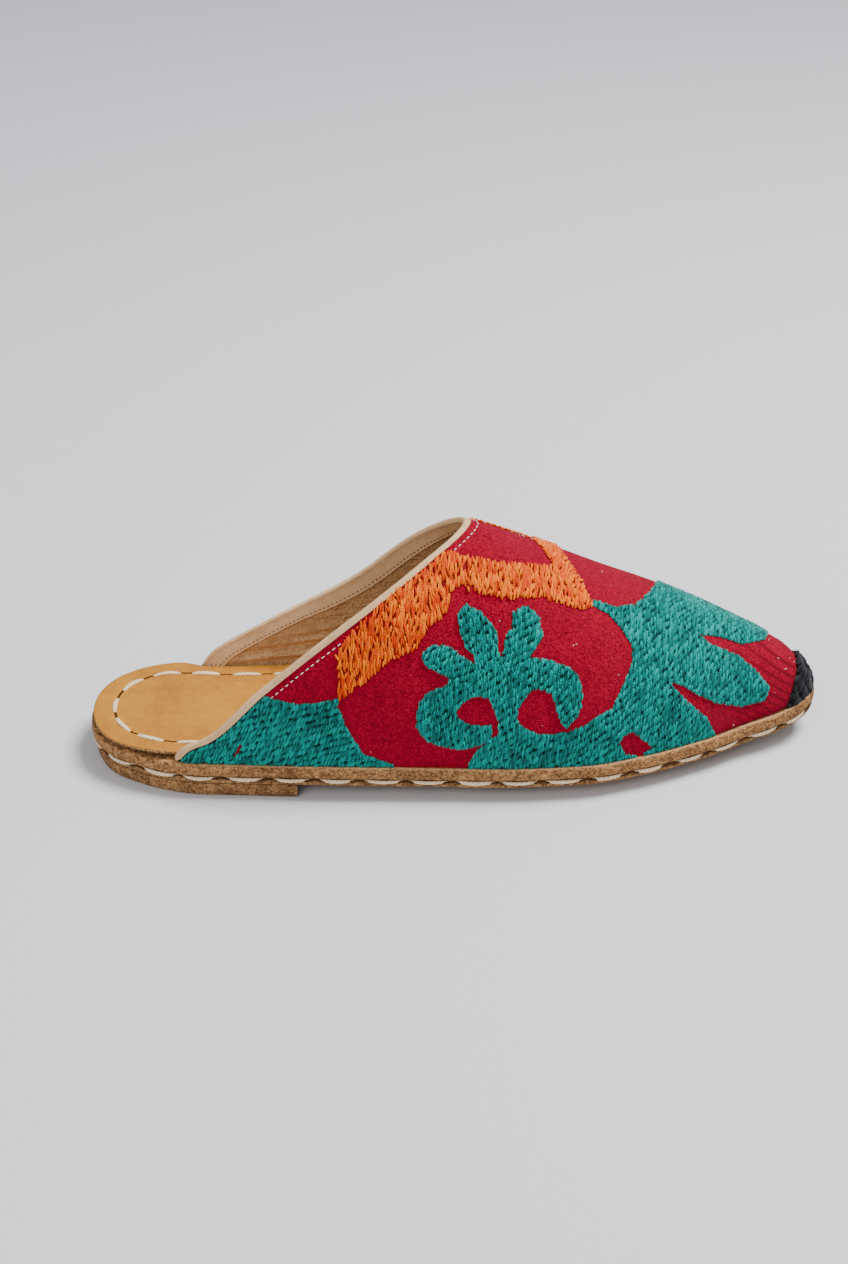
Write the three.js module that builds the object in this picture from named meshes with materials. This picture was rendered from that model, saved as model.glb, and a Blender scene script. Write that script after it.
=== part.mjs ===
// A backless leather-soled slipper for the right foot, in millimetres: +X to the toe, +Z up, -Y the outer side.
// The form is worked out from the heel back (x = 0) to the toe tip, and the finished group is then moved so that
// its origin is the middle of its footprint on the floor.
import * as THREE from "three";
import { mergeVertices } from "three/addons/utils/BufferGeometryUtils.js";

// Driving dimensions.
const LENGTH = 268;
const BALL_WIDTH = 89;
const INSTEP_HEIGHT = 75;
const THROAT_FROM_HEEL = 137;
const OUTER_COLLAR_END = 32;
const INNER_COLLAR_END = 40;
const COLLAR_END_HEIGHT = 5;
const UPPER_WALL = 2.2;
const INSOLE_THICKNESS = 2.3;
const MIDSOLE_THICKNESS = 4.8;
const OUTSOLE_THICKNESS = 2.6;
const LIFT_THICKNESS = 5.7;
const LIFT_LENGTH = 75;
const BREAST_HOLLOW = 2;
const TREAD_START = 138;
const TREAD_END = 186;
const TOE_SPRING = 10;
const EDGE_RAISE = 5.7;
const HEEL_ROUND = 42;
const TOE_ROUND = 24;
const TOE_NOSE = 12;
const WELT_EDGE = 1.8;
const INSOLE_BACK = 0.6;
const INSOLE_TIP = 14;
const LEATHER = 0.9;
const BINDING_WIDTH = 2.6;
const FACING_WIDTH = 9;
const SEAM_GAP = 0.3;
const BINDING_GAP = 0.55;

// How finely the curves are cut.
const HALF_LOOP = 32;
const RIBS = 64;
const RIB_STEPS = 12;
const FAN_FROM = 100;
const FAN_TO = 170;
const CURVED_RINGS = [0, 0.28, 0.42, 0.57, 0.71, 0.86];
const FLAT_RINGS = [0];

const OUTER = -1;
const INNER = 1;
const TAU_QUARTER = Math.PI / 2;

// Half widths of the sole as shares of half the ball width, by share of the length from the heel back.
const SOLE_OUTLINE = [
  { at: 0.0, outer: 0.93, inner: 0.89 },
  { at: 0.06, outer: 0.82, inner: 0.8 },
  { at: 0.16, outer: 0.87, inner: 0.73 },
  { at: 0.3, outer: 0.955, inner: 0.72 },
  { at: 0.47, outer: 1.02, inner: 0.78 },
  { at: 0.58, outer: 1.065, inner: 0.88 },
  { at: 0.66, outer: 1.05, inner: 0.955 },
  { at: 0.74, outer: 0.94, inner: 0.94 },
  { at: 0.83, outer: 0.725, inner: 0.8 },
  { at: 0.92, outer: 0.46, inner: 0.54 },
  { at: 1.0, outer: 0.36, inner: 0.4 },
];

// Height of the last's ridge as shares of the instep height, and the power that squares off its section.
const LAST_RIDGE = [
  { at: 0.0, height: 1.2, fullness: 2.6 },
  { at: 0.3, height: 1.1, fullness: 2.4 },
  { at: 0.51, height: 1.01, fullness: 1.6 },
  { at: 0.6, height: 0.866, fullness: 2.15 },
  { at: 0.7, height: 0.698, fullness: 2.4 },
  { at: 0.8, height: 0.548, fullness: 2.4 },
  { at: 0.9, height: 0.368, fullness: 2.4 },
  { at: 0.96, height: 0.225, fullness: 2.4 },
  { at: 1.0, height: 0.11, fullness: 2.4 },
];

// Height of the collar's edge on each side, as shares of its rise from the collar's end to the throat.
const COLLAR_LINE = [
  { at: 0.0, outer: 0.0, inner: 0.0 },
  { at: 0.1, outer: 0.06, inner: 0.092 },
  { at: 0.3, outer: 0.342, inner: 0.254 },
  { at: 0.6, outer: 0.686, inner: 0.499 },
  { at: 0.85, outer: 0.904, inner: 0.824 },
  { at: 1.0, outer: 1.0, inner: 1.0 },
];

// Steps down the side of each sole layer: mm out from its loop, by share of its thickness from the top.
const MIDSOLE_SIDE = [
  { out: -0.9, down: 0 },
  { out: 0.1, down: 0.22 },
  { out: 0.3, down: 0.6 },
  { out: -0.5, down: 1 },
];
const OUTSOLE_SIDE = [
  { out: -1.2, down: 0 },
  { out: -0.6, down: 0.45 },
  { out: -1.0, down: 1 },
];
const LIFT_SIDE = [
  { out: -0.9, down: 0 },
  { out: -1.2, down: 0.4 },
  { out: -3.0, down: 1 },
];
const INSOLE_SIDE = [
  { out: -0.4, down: 0 },
  { out: 0, down: 0.4 },
  { out: -0.3, down: 1 },
];

const LAYER_STACK = OUTSOLE_THICKNESS + SEAM_GAP + MIDSOLE_THICKNESS;
const HEEL_STACK = LIFT_THICKNESS + SEAM_GAP;

const clamp01 = (t) => Math.min(1, Math.max(0, t));
const lerp = (a, b, t) => a + (b - a) * t;
const smooth = (from, to, x) => {
  const t = clamp01((x - from) / (to - from));
  return t * t * (3 - 2 * t);
};

// A smooth function through one column of a table, with no overshoot between its rows (Fritsch and Carlson).
function column(rows, key) {
  const x = rows.map((row) => row.at);
  const y = rows.map((row) => row[key]);
  const slope = x.slice(1).map((xi, i) => (y[i + 1] - y[i]) / (xi - x[i]));
  const tangent = x.map((_, i) => {
    if (i === 0) return slope[0];
    if (i === x.length - 1) return slope[i - 1];
    const product = slope[i - 1] * slope[i];
    return product <= 0 ? 0 : (2 * product) / (slope[i - 1] + slope[i]);
  });
  return (at) => {
    const t = Math.min(x[x.length - 1], Math.max(x[0], at));
    let i = 0;
    while (i < slope.length - 1 && t > x[i + 1]) i++;
    const h = x[i + 1] - x[i];
    const s = (t - x[i]) / h;
    const a = (1 + 2 * s) * (1 - s) ** 2 * y[i] + s * s * (3 - 2 * s) * y[i + 1];
    return a + h * s * (1 - s) ** 2 * tangent[i] + h * s * s * (s - 1) * tangent[i + 1];
  };
}

const outerShare = column(SOLE_OUTLINE, "outer");
const innerShare = column(SOLE_OUTLINE, "inner");
const ridgeShare = column(LAST_RIDGE, "height");
const fullnessAt = column(LAST_RIDGE, "fullness");
const outerRise = column(COLLAR_LINE, "outer");
const innerRise = column(COLLAR_LINE, "inner");

// The share of full width that the rounded heel and toe leave at x.
function roundedEnds(x) {
  const heel = 1 - clamp01((HEEL_ROUND - x) / HEEL_ROUND) ** 2;
  const toe = 1 - clamp01((x - (LENGTH - TOE_ROUND)) / TOE_ROUND) ** 2;
  return Math.sqrt(heel * toe);
}

// Half width of the sole at x on one side.
function halfWidth(side, x) {
  const share = side === OUTER ? outerShare(x / LENGTH) : innerShare(x / LENGTH);
  return (BALL_WIDTH / 2) * share * roundedEnds(x);
}

// Height of the tread over the floor at a point of the plan: on the lift at the heel, down to the flat tread,
// up along the toe spring, with its edges turned up ahead of the lift.
function treadHeight(x, y) {
  const side = y < 0 ? OUTER : INNER;
  const across = Math.abs(y) / Math.max(halfWidth(side, x), 1);
  const heel = HEEL_STACK * (1 - smooth(LIFT_LENGTH, TREAD_START, x));
  const spring = TOE_SPRING * clamp01((x - TREAD_END) / (LENGTH - TREAD_END)) ** 1.6;
  const edges = smooth(LIFT_LENGTH, TREAD_START, x) * (1 - smooth(TREAD_END, LENGTH - 4, x));
  return heel + spring + EDGE_RAISE * edges * smooth(0.3, 1.1, across);
}

// Height at which the upper and the insole lie on the midsole.
const seatHeight = (x, y) => treadHeight(x, y) + LAYER_STACK + SEAM_GAP;

// Points spread evenly by arc length along a line of dense points.
function evenly(points, count) {
  const run = [0];
  for (let i = 1; i < points.length; i++) run.push(run[i - 1] + points[i].distanceTo(points[i - 1]));
  const total = run[run.length - 1];
  let k = 0;
  return Array.from({ length: count + 1 }, (_, i) => {
    const want = (total * i) / count;
    while (k < run.length - 2 && run[k + 1] < want) k++;
    const t = (want - run[k]) / (run[k + 1] - run[k]);
    return points[k].clone().lerp(points[k + 1], clamp01(t));
  });
}

// One side of the sole's plan from x = from to x = to, as dense points crowded where it turns.
function sideLine(side, from, to) {
  const steps = 600;
  return Array.from({ length: steps + 1 }, (_, i) => {
    const x = lerp(from, to, (1 - Math.cos((Math.PI * i) / steps)) / 2);
    return new THREE.Vector2(x, side * halfWidth(side, x));
  });
}

// The loop of a piece of the sole, counterclockwise from above: out along the outer side and back along the inner.
function closedLoop(outerHalf, innerHalf) {
  return [...outerHalf, ...innerHalf.slice(1, -1).reverse()];
}

// A loop moved out along its own normals, by a distance that may change from point to point.
function outset(loop, distance) {
  return loop.map((point, i) => {
    const next = loop[(i + 1) % loop.length];
    const last = loop[(i + loop.length - 1) % loop.length];
    const along = next.clone().sub(last).normalize();
    const out = new THREE.Vector2(along.y, -along.x);
    return point.clone().addScaledVector(out, typeof distance === "function" ? distance(point) : distance);
  });
}

// A closed solid from loops of equal length, stitched one to the next. The first and last loops may lie folded on a
// line, where their two sides share their points.
function stitch(loops) {
  const count = loops[0].length;
  const positions = loops.flat().flatMap((p) => [p.x, p.y, p.z]);
  const index = [];
  for (let row = 0; row < loops.length - 1; row++)
    for (let i = 0; i < count; i++) {
      const j = (i + 1) % count;
      const [a, b] = [row * count + i, row * count + j];
      const [c, d] = [a + count, b + count];
      index.push(a, c, b, b, c, d);
    }
  return solid(positions, index);
}

// Positions and triangles as one merged geometry, without the triangles that merging has flattened.
function solid(positions, index) {
  const loose = new THREE.BufferGeometry();
  loose.setAttribute("position", new THREE.Float32BufferAttribute(positions, 3));
  loose.setIndex(index);
  const merged = mergeVertices(loose, 1e-3);
  const kept = [];
  const old = merged.index.array;
  for (let i = 0; i < old.length; i += 3) {
    const [a, b, c] = [old[i], old[i + 1], old[i + 2]];
    if (a !== b && b !== c && a !== c) kept.push(a, b, c);
  }
  merged.setIndex(kept);
  merged.computeVertexNormals();
  return merged;
}

// A plate of the sole: its loop is filled by rings that close on a spine, and its side follows the given steps.
function plate({ loop, from, to, bottom, thickness, side, rings = CURVED_RINGS }) {
  const half = loop.length / 2;
  const spine = loop.map((_, i) => new THREE.Vector2(lerp(from, to, Math.min(i, loop.length - i) / half), 0));
  const ring = (out, share, up) =>
    outset(loop, out).map((p, i) => {
      const q = spine[i].clone().lerp(p, share);
      return new THREE.Vector3(q.x, q.y, bottom(q.x, q.y) + up * thickness);
    });
  const [rim, foot] = [side[0], side[side.length - 1]];
  return stitch([
    ...rings.map((share) => ring(rim.out, share, 1)),
    ...side.map((step) => ring(step.out, 1, 1 - step.down)),
    ...[...rings].reverse().map((share) => ring(foot.out, share, 0)),
  ]);
}

const soleLoop = closedLoop(
  evenly(sideLine(OUTER, 0, LENGTH), HALF_LOOP),
  evenly(sideLine(INNER, 0, LENGTH), HALF_LOOP),
);
const spineEnds = { from: HEEL_ROUND * 0.7, to: LENGTH - TOE_ROUND };

function outsole() {
  return plate({ loop: soleLoop, ...spineEnds, bottom: treadHeight, thickness: OUTSOLE_THICKNESS, side: OUTSOLE_SIDE });
}

function midsole() {
  const bottom = (x, y) => treadHeight(x, y) + OUTSOLE_THICKNESS + SEAM_GAP;
  return plate({ loop: soleLoop, ...spineEnds, bottom, thickness: MIDSOLE_THICKNESS, side: MIDSOLE_SIDE });
}

// The heel's single lift, under the outsole from the heel back to a slightly hollow breast.
function heelLift() {
  const breast = (side) => {
    const corner = new THREE.Vector2(LIFT_LENGTH, side * halfWidth(side, LIFT_LENGTH));
    return evenly([corner, new THREE.Vector2(LIFT_LENGTH - BREAST_HOLLOW, 0)], HALF_LOOP / 4).slice(1);
  };
  const half = (side) => [...evenly(sideLine(side, 0, LIFT_LENGTH), HALF_LOOP / 2), ...breast(side)];
  return plate({
    loop: closedLoop(half(OUTER), half(INNER)),
    from: LIFT_LENGTH * 0.4,
    to: LIFT_LENGTH * 0.75,
    bottom: () => 0,
    thickness: LIFT_THICKNESS,
    side: LIFT_SIDE,
    rings: FLAT_RINGS,
  });
}

// Where the upper ends on one side.
const collarEnd = (side) => (side === OUTER ? OUTER_COLLAR_END : INNER_COLLAR_END);

// The insole reaches the sole's edge behind the upper, and steps in to lie between its walls ahead of its ends.
function insole() {
  const beside = WELT_EDGE + UPPER_WALL + 3 * SEAM_GAP + LEATHER;
  const half = (side) => {
    const end = collarEnd(side);
    return sideLine(side, 0, LENGTH).map((p) => {
      const inset = lerp(INSOLE_BACK, beside, smooth(end - 14, end - 4, p.x)) * roundedEnds(p.x) ** 0.5;
      return new THREE.Vector2(lerp(INSOLE_BACK, LENGTH - INSOLE_TIP, p.x / LENGTH), p.y - side * inset);
    });
  };
  return plate({
    loop: closedLoop(evenly(half(OUTER), HALF_LOOP), evenly(half(INNER), HALF_LOOP)),
    from: spineEnds.from,
    to: spineEnds.to - INSOLE_TIP,
    bottom: seatHeight,
    thickness: INSOLE_THICKNESS,
    side: INSOLE_SIDE,
  });
}

// Half width of the upper's feather line, which lies inside the sole's edge.
function featherWidth(side, x) {
  const squeezed = (x * LENGTH) / (LENGTH - WELT_EDGE);
  return Math.max(0, halfWidth(side, squeezed) - WELT_EDGE * roundedEnds(squeezed) ** 0.5);
}

// Height of the upper's lower edge, which stands on the midsole.
function featherHeight(x) {
  return seatHeight(x, -featherWidth(OUTER, x));
}

// Height of the last's ridge over the feather line, falling away round the nose of the toe.
function ridgeHeight(x) {
  const tip = LENGTH - WELT_EDGE;
  const nose = clamp01((x - (tip - TOE_NOSE)) / TOE_NOSE);
  return INSTEP_HEIGHT * ridgeShare(x / LENGTH) * Math.sqrt(Math.max(0, 1 - nose ** 2.2));
}

// A point of the upper's outer face, at x and at a share of the half width on one side.
function lastPoint(side, x, across) {
  const rise = Math.sqrt(Math.max(0, 1 - across ** fullnessAt(x / LENGTH)));
  const y = side * featherWidth(side, x) * across;
  return new THREE.Vector3(x, y, featherHeight(x) + ridgeHeight(x) * rise);
}

// The collar's edge on one side, from its end to the middle of the throat, as shares of the half width at x.
function collarAcross(side, x) {
  const end = collarEnd(side);
  const along = clamp01((x - end) / (THROAT_FROM_HEEL - end));
  const rise = side === OUTER ? outerRise(along) : innerRise(along);
  const height = lerp(COLLAR_END_HEIGHT, ridgeHeight(THROAT_FROM_HEEL), rise);
  const share = clamp01(height / ridgeHeight(x));
  return (1 - share * share) ** (1 / fullnessAt(x / LENGTH));
}

// Points of the collar's edge on one side, spread evenly from its end to the throat.
function collarLine(side, count) {
  const steps = 400;
  const dense = Array.from({ length: steps + 1 }, (_, i) => {
    const x = lerp(collarEnd(side), THROAT_FROM_HEEL, 1 - (1 - i / steps) ** 2);
    return lastPoint(side, x, collarAcross(side, x));
  });
  return evenly(dense, count);
}

// Points of the upper's foot on one side, spread evenly from the collar's end to the toe.
function featherLine(side, count) {
  const steps = 600;
  const dense = Array.from({ length: steps + 1 }, (_, i) => {
    const x = lerp(collarEnd(side), LENGTH - WELT_EDGE, Math.sin((TAU_QUARTER * i) / steps));
    return lastPoint(side, x, 1);
  });
  return evenly(dense, count);
}

// Ribs from the foot (0) to the collar (1), from the outer end round the toe to the inner end, crowded at the foot
// and at the collar. Those of the toe run straight in plan, so that the middle one is the ridge itself. Those of the
// waist run straight by their share of the half width, which keeps them inside its hollow outline.
function ribs() {
  const half = RIBS / 2;
  const foot = { [OUTER]: featherLine(OUTER, half), [INNER]: featherLine(INNER, half) };
  const collar = { [OUTER]: collarLine(OUTER, half), [INNER]: collarLine(INNER, half) };
  return Array.from({ length: RIBS + 1 }, (_, i) => {
    const side = i <= half ? OUTER : INNER;
    const k = i <= half ? i : RIBS - i;
    const [low, high] = [foot[side][k].x, collar[side][k].x];
    const top = collarAcross(side, high);
    const [lowY, highY] = [k === half ? 0 : featherWidth(side, low), featherWidth(side, high) * top];
    const straight = smooth(FAN_FROM, FAN_TO, low);
    return (share) => {
      const t = ((1 - Math.cos(Math.PI * clamp01(share))) / 2) ** 1.25;
      const x = lerp(low, high, t);
      const inPlan = Math.min(1, lerp(lowY, highY, t) / Math.max(featherWidth(side, x), 1e-6));
      return lastPoint(side, x, lerp(lerp(1, top, t), inPlan, straight));
    };
  });
}

const wall = ribs();

// The upper's outer face at a share of one rib: its point, the way up the rib and the outward normal.
function wallAt(i, share) {
  const step = 0.01;
  const up = wall[i](share + step).sub(wall[i](share - step)).normalize();
  const across = wall[Math.min(i + 1, RIBS)](share).sub(wall[Math.max(i - 1, 0)](share));
  return { point: wall[i](share), up, normal: across.cross(up).normalize() };
}

// A strip of wall between two offsets of a skin: one section loop for each rib, capped at both ends.
function strip(sections) {
  const count = sections[0].length;
  const positions = sections.flat().flatMap((p) => [p.x, p.y, p.z]);
  const index = [];
  for (let i = 0; i < sections.length - 1; i++)
    for (let j = 0; j < count; j++) {
      const k = (j + 1) % count;
      const [a, b] = [i * count + j, i * count + k];
      const [c, d] = [a + count, b + count];
      index.push(a, c, b, b, c, d);
    }
  const outline = (section) => THREE.ShapeUtils.triangulateShape(flatten(section), []);
  const last = (sections.length - 1) * count;
  outline(sections[0]).forEach(([a, b, c]) => index.push(a, b, c));
  outline(sections[sections.length - 1]).forEach(([a, b, c]) => index.push(last + a, last + c, last + b));
  return solid(positions, index);
}

// A section loop laid into its own plane, in the order of its points.
function flatten(section) {
  const normal = new THREE.Vector3();
  section.forEach((p, i) => {
    const q = section[(i + 1) % section.length];
    normal.x += (p.y - q.y) * (p.z + q.z);
    normal.y += (p.z - q.z) * (p.x + q.x);
    normal.z += (p.x - q.x) * (p.y + q.y);
  });
  const turn = new THREE.Quaternion().setFromUnitVectors(normal.normalize(), new THREE.Vector3(0, 0, 1));
  return section.map((p) => {
    const q = p.clone().applyQuaternion(turn);
    return new THREE.Vector2(q.x, q.y);
  });
}

// A point moved in from the upper's outer face, level at the wall's foot so that the foot stays on the midsole.
function inward(point, normal, depth) {
  const height = point.z - featherHeight(point.x);
  const way = normal.clone();
  way.z *= smooth(0, 3 * UPPER_WALL, height);
  const moved = point.clone().addScaledVector(way.normalize(), -depth);
  moved.z += (seatHeight(moved.x, moved.y) - featherHeight(point.x)) * (1 - smooth(0, 3 * UPPER_WALL, height));
  return moved;
}

// The upper's wall: its outer face is the last's surface, and its inner face lies a wall's thickness inside.
function upper() {
  const sections = wall.map((_, i) => {
    const faces = Array.from({ length: RIB_STEPS + 1 }, (_, j) => wallAt(i, j / RIB_STEPS));
    const outside = faces.map(({ point }) => point);
    const inside = faces.map(({ point, normal }) => inward(point, normal, UPPER_WALL));
    return [...outside, ...inside.reverse()];
  });
  return strip(sections);
}

// A function that gives a rib's share at a depth in mm below the collar's edge, and the rib's whole length.
function ribDepths(rib) {
  const steps = 120;
  const points = Array.from({ length: steps + 1 }, (_, k) => rib(1 - k / steps));
  const run = [0];
  for (let k = 1; k <= steps; k++) run.push(run[k - 1] + points[k].distanceTo(points[k - 1]));
  const shareAt = (depth) => {
    let k = 1;
    while (k < steps && run[k] < depth) k++;
    return 1 - (k - 1 + clamp01((depth - run[k - 1]) / (run[k] - run[k - 1]))) / steps;
  };
  return { shareAt, length: run[steps] };
}

// The leather binding folded over the collar, with a short leg outside and a wider facing inside. Each corner of its
// section is given by mm down from the collar's edge and mm out from the upper's outer face.
function collarBinding() {
  const skinOut = BINDING_GAP + LEATHER;
  const liningOut = -UPPER_WALL - BINDING_GAP;
  const facingOut = liningOut - LEATHER;
  const sections = wall.map((rib, i) => {
    const { shareAt, length } = ribDepths(rib);
    const leg = Math.min(BINDING_WIDTH, 0.5 * length);
    const facing = Math.min(FACING_WIDTH, length - INSOLE_THICKNESS - 2 * SEAM_GAP);
    const corners = [
      { down: leg, out: skinOut - 0.3 },
      { down: leg / 2, out: skinOut },
      { down: leg / 8, out: skinOut },
      { down: -0.85 * skinOut, out: 0.1 * skinOut },
      { down: -skinOut, out: -UPPER_WALL / 2 },
      { down: -0.85 * skinOut, out: -UPPER_WALL - 0.1 * skinOut },
      { down: facing / 24, out: facingOut },
      { down: facing / 2, out: facingOut },
      { down: facing, out: facingOut + 0.3 },
      { down: facing, out: liningOut },
      { down: facing / 2, out: liningOut },
      { down: -BINDING_GAP, out: liningOut },
      { down: -BINDING_GAP, out: BINDING_GAP },
      { down: leg / 2, out: BINDING_GAP },
      { down: leg, out: BINDING_GAP },
    ];
    return corners.map(({ down, out }) => {
      const { point, up, normal } = wallAt(i, shareAt(Math.max(0, down)));
      if (down >= 0 && out < 0) return inward(point, normal, -out);
      return point.addScaledVector(up, Math.max(0, -down)).addScaledVector(normal, out);
    });
  });
  return strip(sections);
}

const pieces = [
  { name: "outsole", make: outsole, color: 0x8f6a44, roughness: 0.9 },
  { name: "midsole", make: midsole, color: 0x9a7650, roughness: 0.95 },
  { name: "heel_lift", make: heelLift, color: 0xa98459, roughness: 0.95 },
  { name: "insole", make: insole, color: 0xcfa060, roughness: 0.6 },
  { name: "upper", make: upper, color: 0x9c1230, roughness: 0.9 },
  { name: "collar_binding", make: collarBinding, color: 0xcdb08c, roughness: 0.6 },
];

const slipper = new THREE.Group();
for (const { name, make, color, roughness } of pieces) {
  const mesh = new THREE.Mesh(make(), new THREE.MeshStandardMaterial({ color, roughness, metalness: 0 }));
  mesh.name = name;
  slipper.add(mesh);
}
const footprint = new THREE.Box3().setFromObject(slipper);
const middle = footprint.getCenter(new THREE.Vector3());
slipper.position.set(-middle.x, -middle.y, -footprint.min.z);

export default slipper;
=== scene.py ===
"""Looks of a backless embroidered slipper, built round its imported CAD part.

The form is worked out in mm from the heel back (x = 0) to the toe tip, as in the CAD, and moved to the part's
frame when a mesh is made. The embroidery is drafted as seen from the slipper's outer side.
"""

import logging
import math
from collections.abc import Callable
from dataclasses import dataclass
from enum import Enum

import bpy
import numpy as np
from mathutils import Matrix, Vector


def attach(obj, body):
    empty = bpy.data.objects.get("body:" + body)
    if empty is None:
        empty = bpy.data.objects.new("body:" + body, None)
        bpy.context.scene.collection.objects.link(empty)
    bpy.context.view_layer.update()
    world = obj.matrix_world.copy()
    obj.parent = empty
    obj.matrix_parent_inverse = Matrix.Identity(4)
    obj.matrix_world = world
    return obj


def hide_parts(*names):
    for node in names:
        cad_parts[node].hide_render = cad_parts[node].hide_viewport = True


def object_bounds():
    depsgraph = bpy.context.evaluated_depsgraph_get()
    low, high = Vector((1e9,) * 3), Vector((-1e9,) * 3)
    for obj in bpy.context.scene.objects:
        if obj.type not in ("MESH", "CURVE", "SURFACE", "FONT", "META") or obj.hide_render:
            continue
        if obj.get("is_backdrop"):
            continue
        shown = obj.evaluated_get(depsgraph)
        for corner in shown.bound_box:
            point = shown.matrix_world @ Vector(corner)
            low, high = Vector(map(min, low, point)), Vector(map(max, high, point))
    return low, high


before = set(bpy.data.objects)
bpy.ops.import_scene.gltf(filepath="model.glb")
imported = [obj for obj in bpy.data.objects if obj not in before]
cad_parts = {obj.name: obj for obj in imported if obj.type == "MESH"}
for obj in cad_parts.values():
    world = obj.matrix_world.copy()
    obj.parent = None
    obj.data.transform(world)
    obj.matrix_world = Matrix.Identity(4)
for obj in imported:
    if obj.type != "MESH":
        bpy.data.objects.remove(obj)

log = logging.getLogger("slipper")
MM = 0.001
OUTER = -1
INNER = 1
SIDES = (OUTER, INNER)
Array = np.ndarray
Object = bpy.types.Object
Material = bpy.types.Material
Layer = tuple[Array, Array]


@dataclass(frozen=True)
class Sizes:
    """Sizes of the slipper in millimetres."""

    length: float = 268.0
    ball_width: float = 89.0
    instep: float = 75.0
    throat: float = 137.0
    outer_end: float = 32.0
    inner_end: float = 40.0
    end_height: float = 5.0
    wall: float = 2.2
    insole: float = 2.3
    midsole: float = 4.8
    outsole: float = 2.6
    lift: float = 5.7
    lift_length: float = 75.0
    breast_hollow: float = 2.0
    tread_start: float = 138.0
    tread_end: float = 186.0
    toe_spring: float = 10.0
    edge_raise: float = 5.7
    heel_round: float = 42.0
    toe_round: float = 24.0
    toe_nose: float = 12.0
    welt_edge: float = 1.8
    seam: float = 0.3
    thin_wall: float = 1.1
    binding_gap: float = 0.12
    folded: float = 0.42
    binding: float = 1.9
    facing: float = 6.6
    fan_from: float = 100.0
    fan_to: float = 170.0
    corner: float = 7.0
    insole_tip: float = 14.0
    insole_inset: float = 0.6
    insole_edge_raise: float = 1.3
    insole_thread_inset: float = 7.0
    insole_thread_reach: float = 112.0


SIZES = Sizes()


def smooth(start: float, end: float, x: Array) -> Array:
    """A soft step from 0 at start to 1 at end."""
    t = np.clip((x - start) / (end - start), 0.0, 1.0)
    return t * t * (3.0 - 2.0 * t)


def eased(count: int) -> Array:
    """Shares from 0 to 1 that lie closer together near both ends."""
    return 0.5 - 0.5 * np.cos(np.linspace(0, np.pi, count))


def unit(v: Array) -> Array:
    """Vectors scaled to length 1."""
    return v / np.maximum(np.linalg.norm(v, axis=-1, keepdims=True), 1e-12)


def measured(line: Array) -> Array:
    """How far along a line each of its points lies."""
    return np.concatenate([[0.0], np.cumsum(np.linalg.norm(np.diff(line, axis=0), axis=1))])


def follow(at: Array, run: Array, line: Array) -> Array:
    """Points of a line at lengths along it, where run holds its own points' lengths."""
    return np.stack([np.interp(at, run, column) for column in line.T], -1)


def evenly(line: Array, count: int) -> Array:
    """count + 1 points spread evenly by length along a line of dense points."""
    run = measured(line)
    return follow(np.linspace(0, run[-1], count + 1), run, line)


def closed(outer: Array, inner: Array) -> Array:
    """One loop from two lines that share their first and last points."""
    return np.concatenate([outer, inner[1:-1][::-1]])


def outward(loop: Array) -> Array:
    """Level directions out of a loop that runs counterclockwise from above."""
    along = unit(np.roll(loop, -1, axis=0) - np.roll(loop, 1, axis=0))
    return np.stack([along[:, 1], -along[:, 0], np.zeros(len(loop))], 1)


def blend(table: Array, i: Array, j: Array) -> Array:
    """Values of a table at places between its rows (i) and columns (j)."""
    a, b = i.astype(int), j.astype(int)
    p, q = i - a, j - b
    if table.ndim == 3:
        p, q = p[..., None], q[..., None]
    low = table[a, b] * (1 - q) + table[a, b + 1] * q
    high = table[a + 1, b] * (1 - q) + table[a + 1, b + 1] * q
    return low * (1 - p) + high * p


class Column:
    """A smooth function through the rows of a table that doesn't overshoot between them."""

    def __init__(self, at: list[float], values: list[float]) -> None:
        """Works out the tangent at each row.

        Args:
            at: The rows' places, rising.
            values: The rows' values.
        """
        self.x = np.array(at)
        self.y = np.array(values)
        self.h = np.diff(self.x)
        slope = np.diff(self.y) / self.h
        inner = slope[:-1] * slope[1:]
        total = slope[:-1] + slope[1:]
        middle = np.where(inner > 0, 2.0 * inner / np.where(total == 0, 1.0, total), 0.0)
        self.m = np.concatenate([slope[:1], middle, slope[-1:]])

    def __call__(self, at: Array) -> Array:
        """The function's values at some places."""
        t = np.clip(at, self.x[0], self.x[-1])
        i = np.clip(np.searchsorted(self.x, t, side="right") - 1, 0, len(self.h) - 1)
        s = (t - self.x[i]) / self.h[i]
        ends = (1 + 2 * s) * (1 - s) ** 2 * self.y[i] + s * s * (3 - 2 * s) * self.y[i + 1]
        bend = s * (1 - s) ** 2 * self.m[i] + s * s * (s - 1) * self.m[i + 1]
        return ends + self.h[i] * bend


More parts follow.
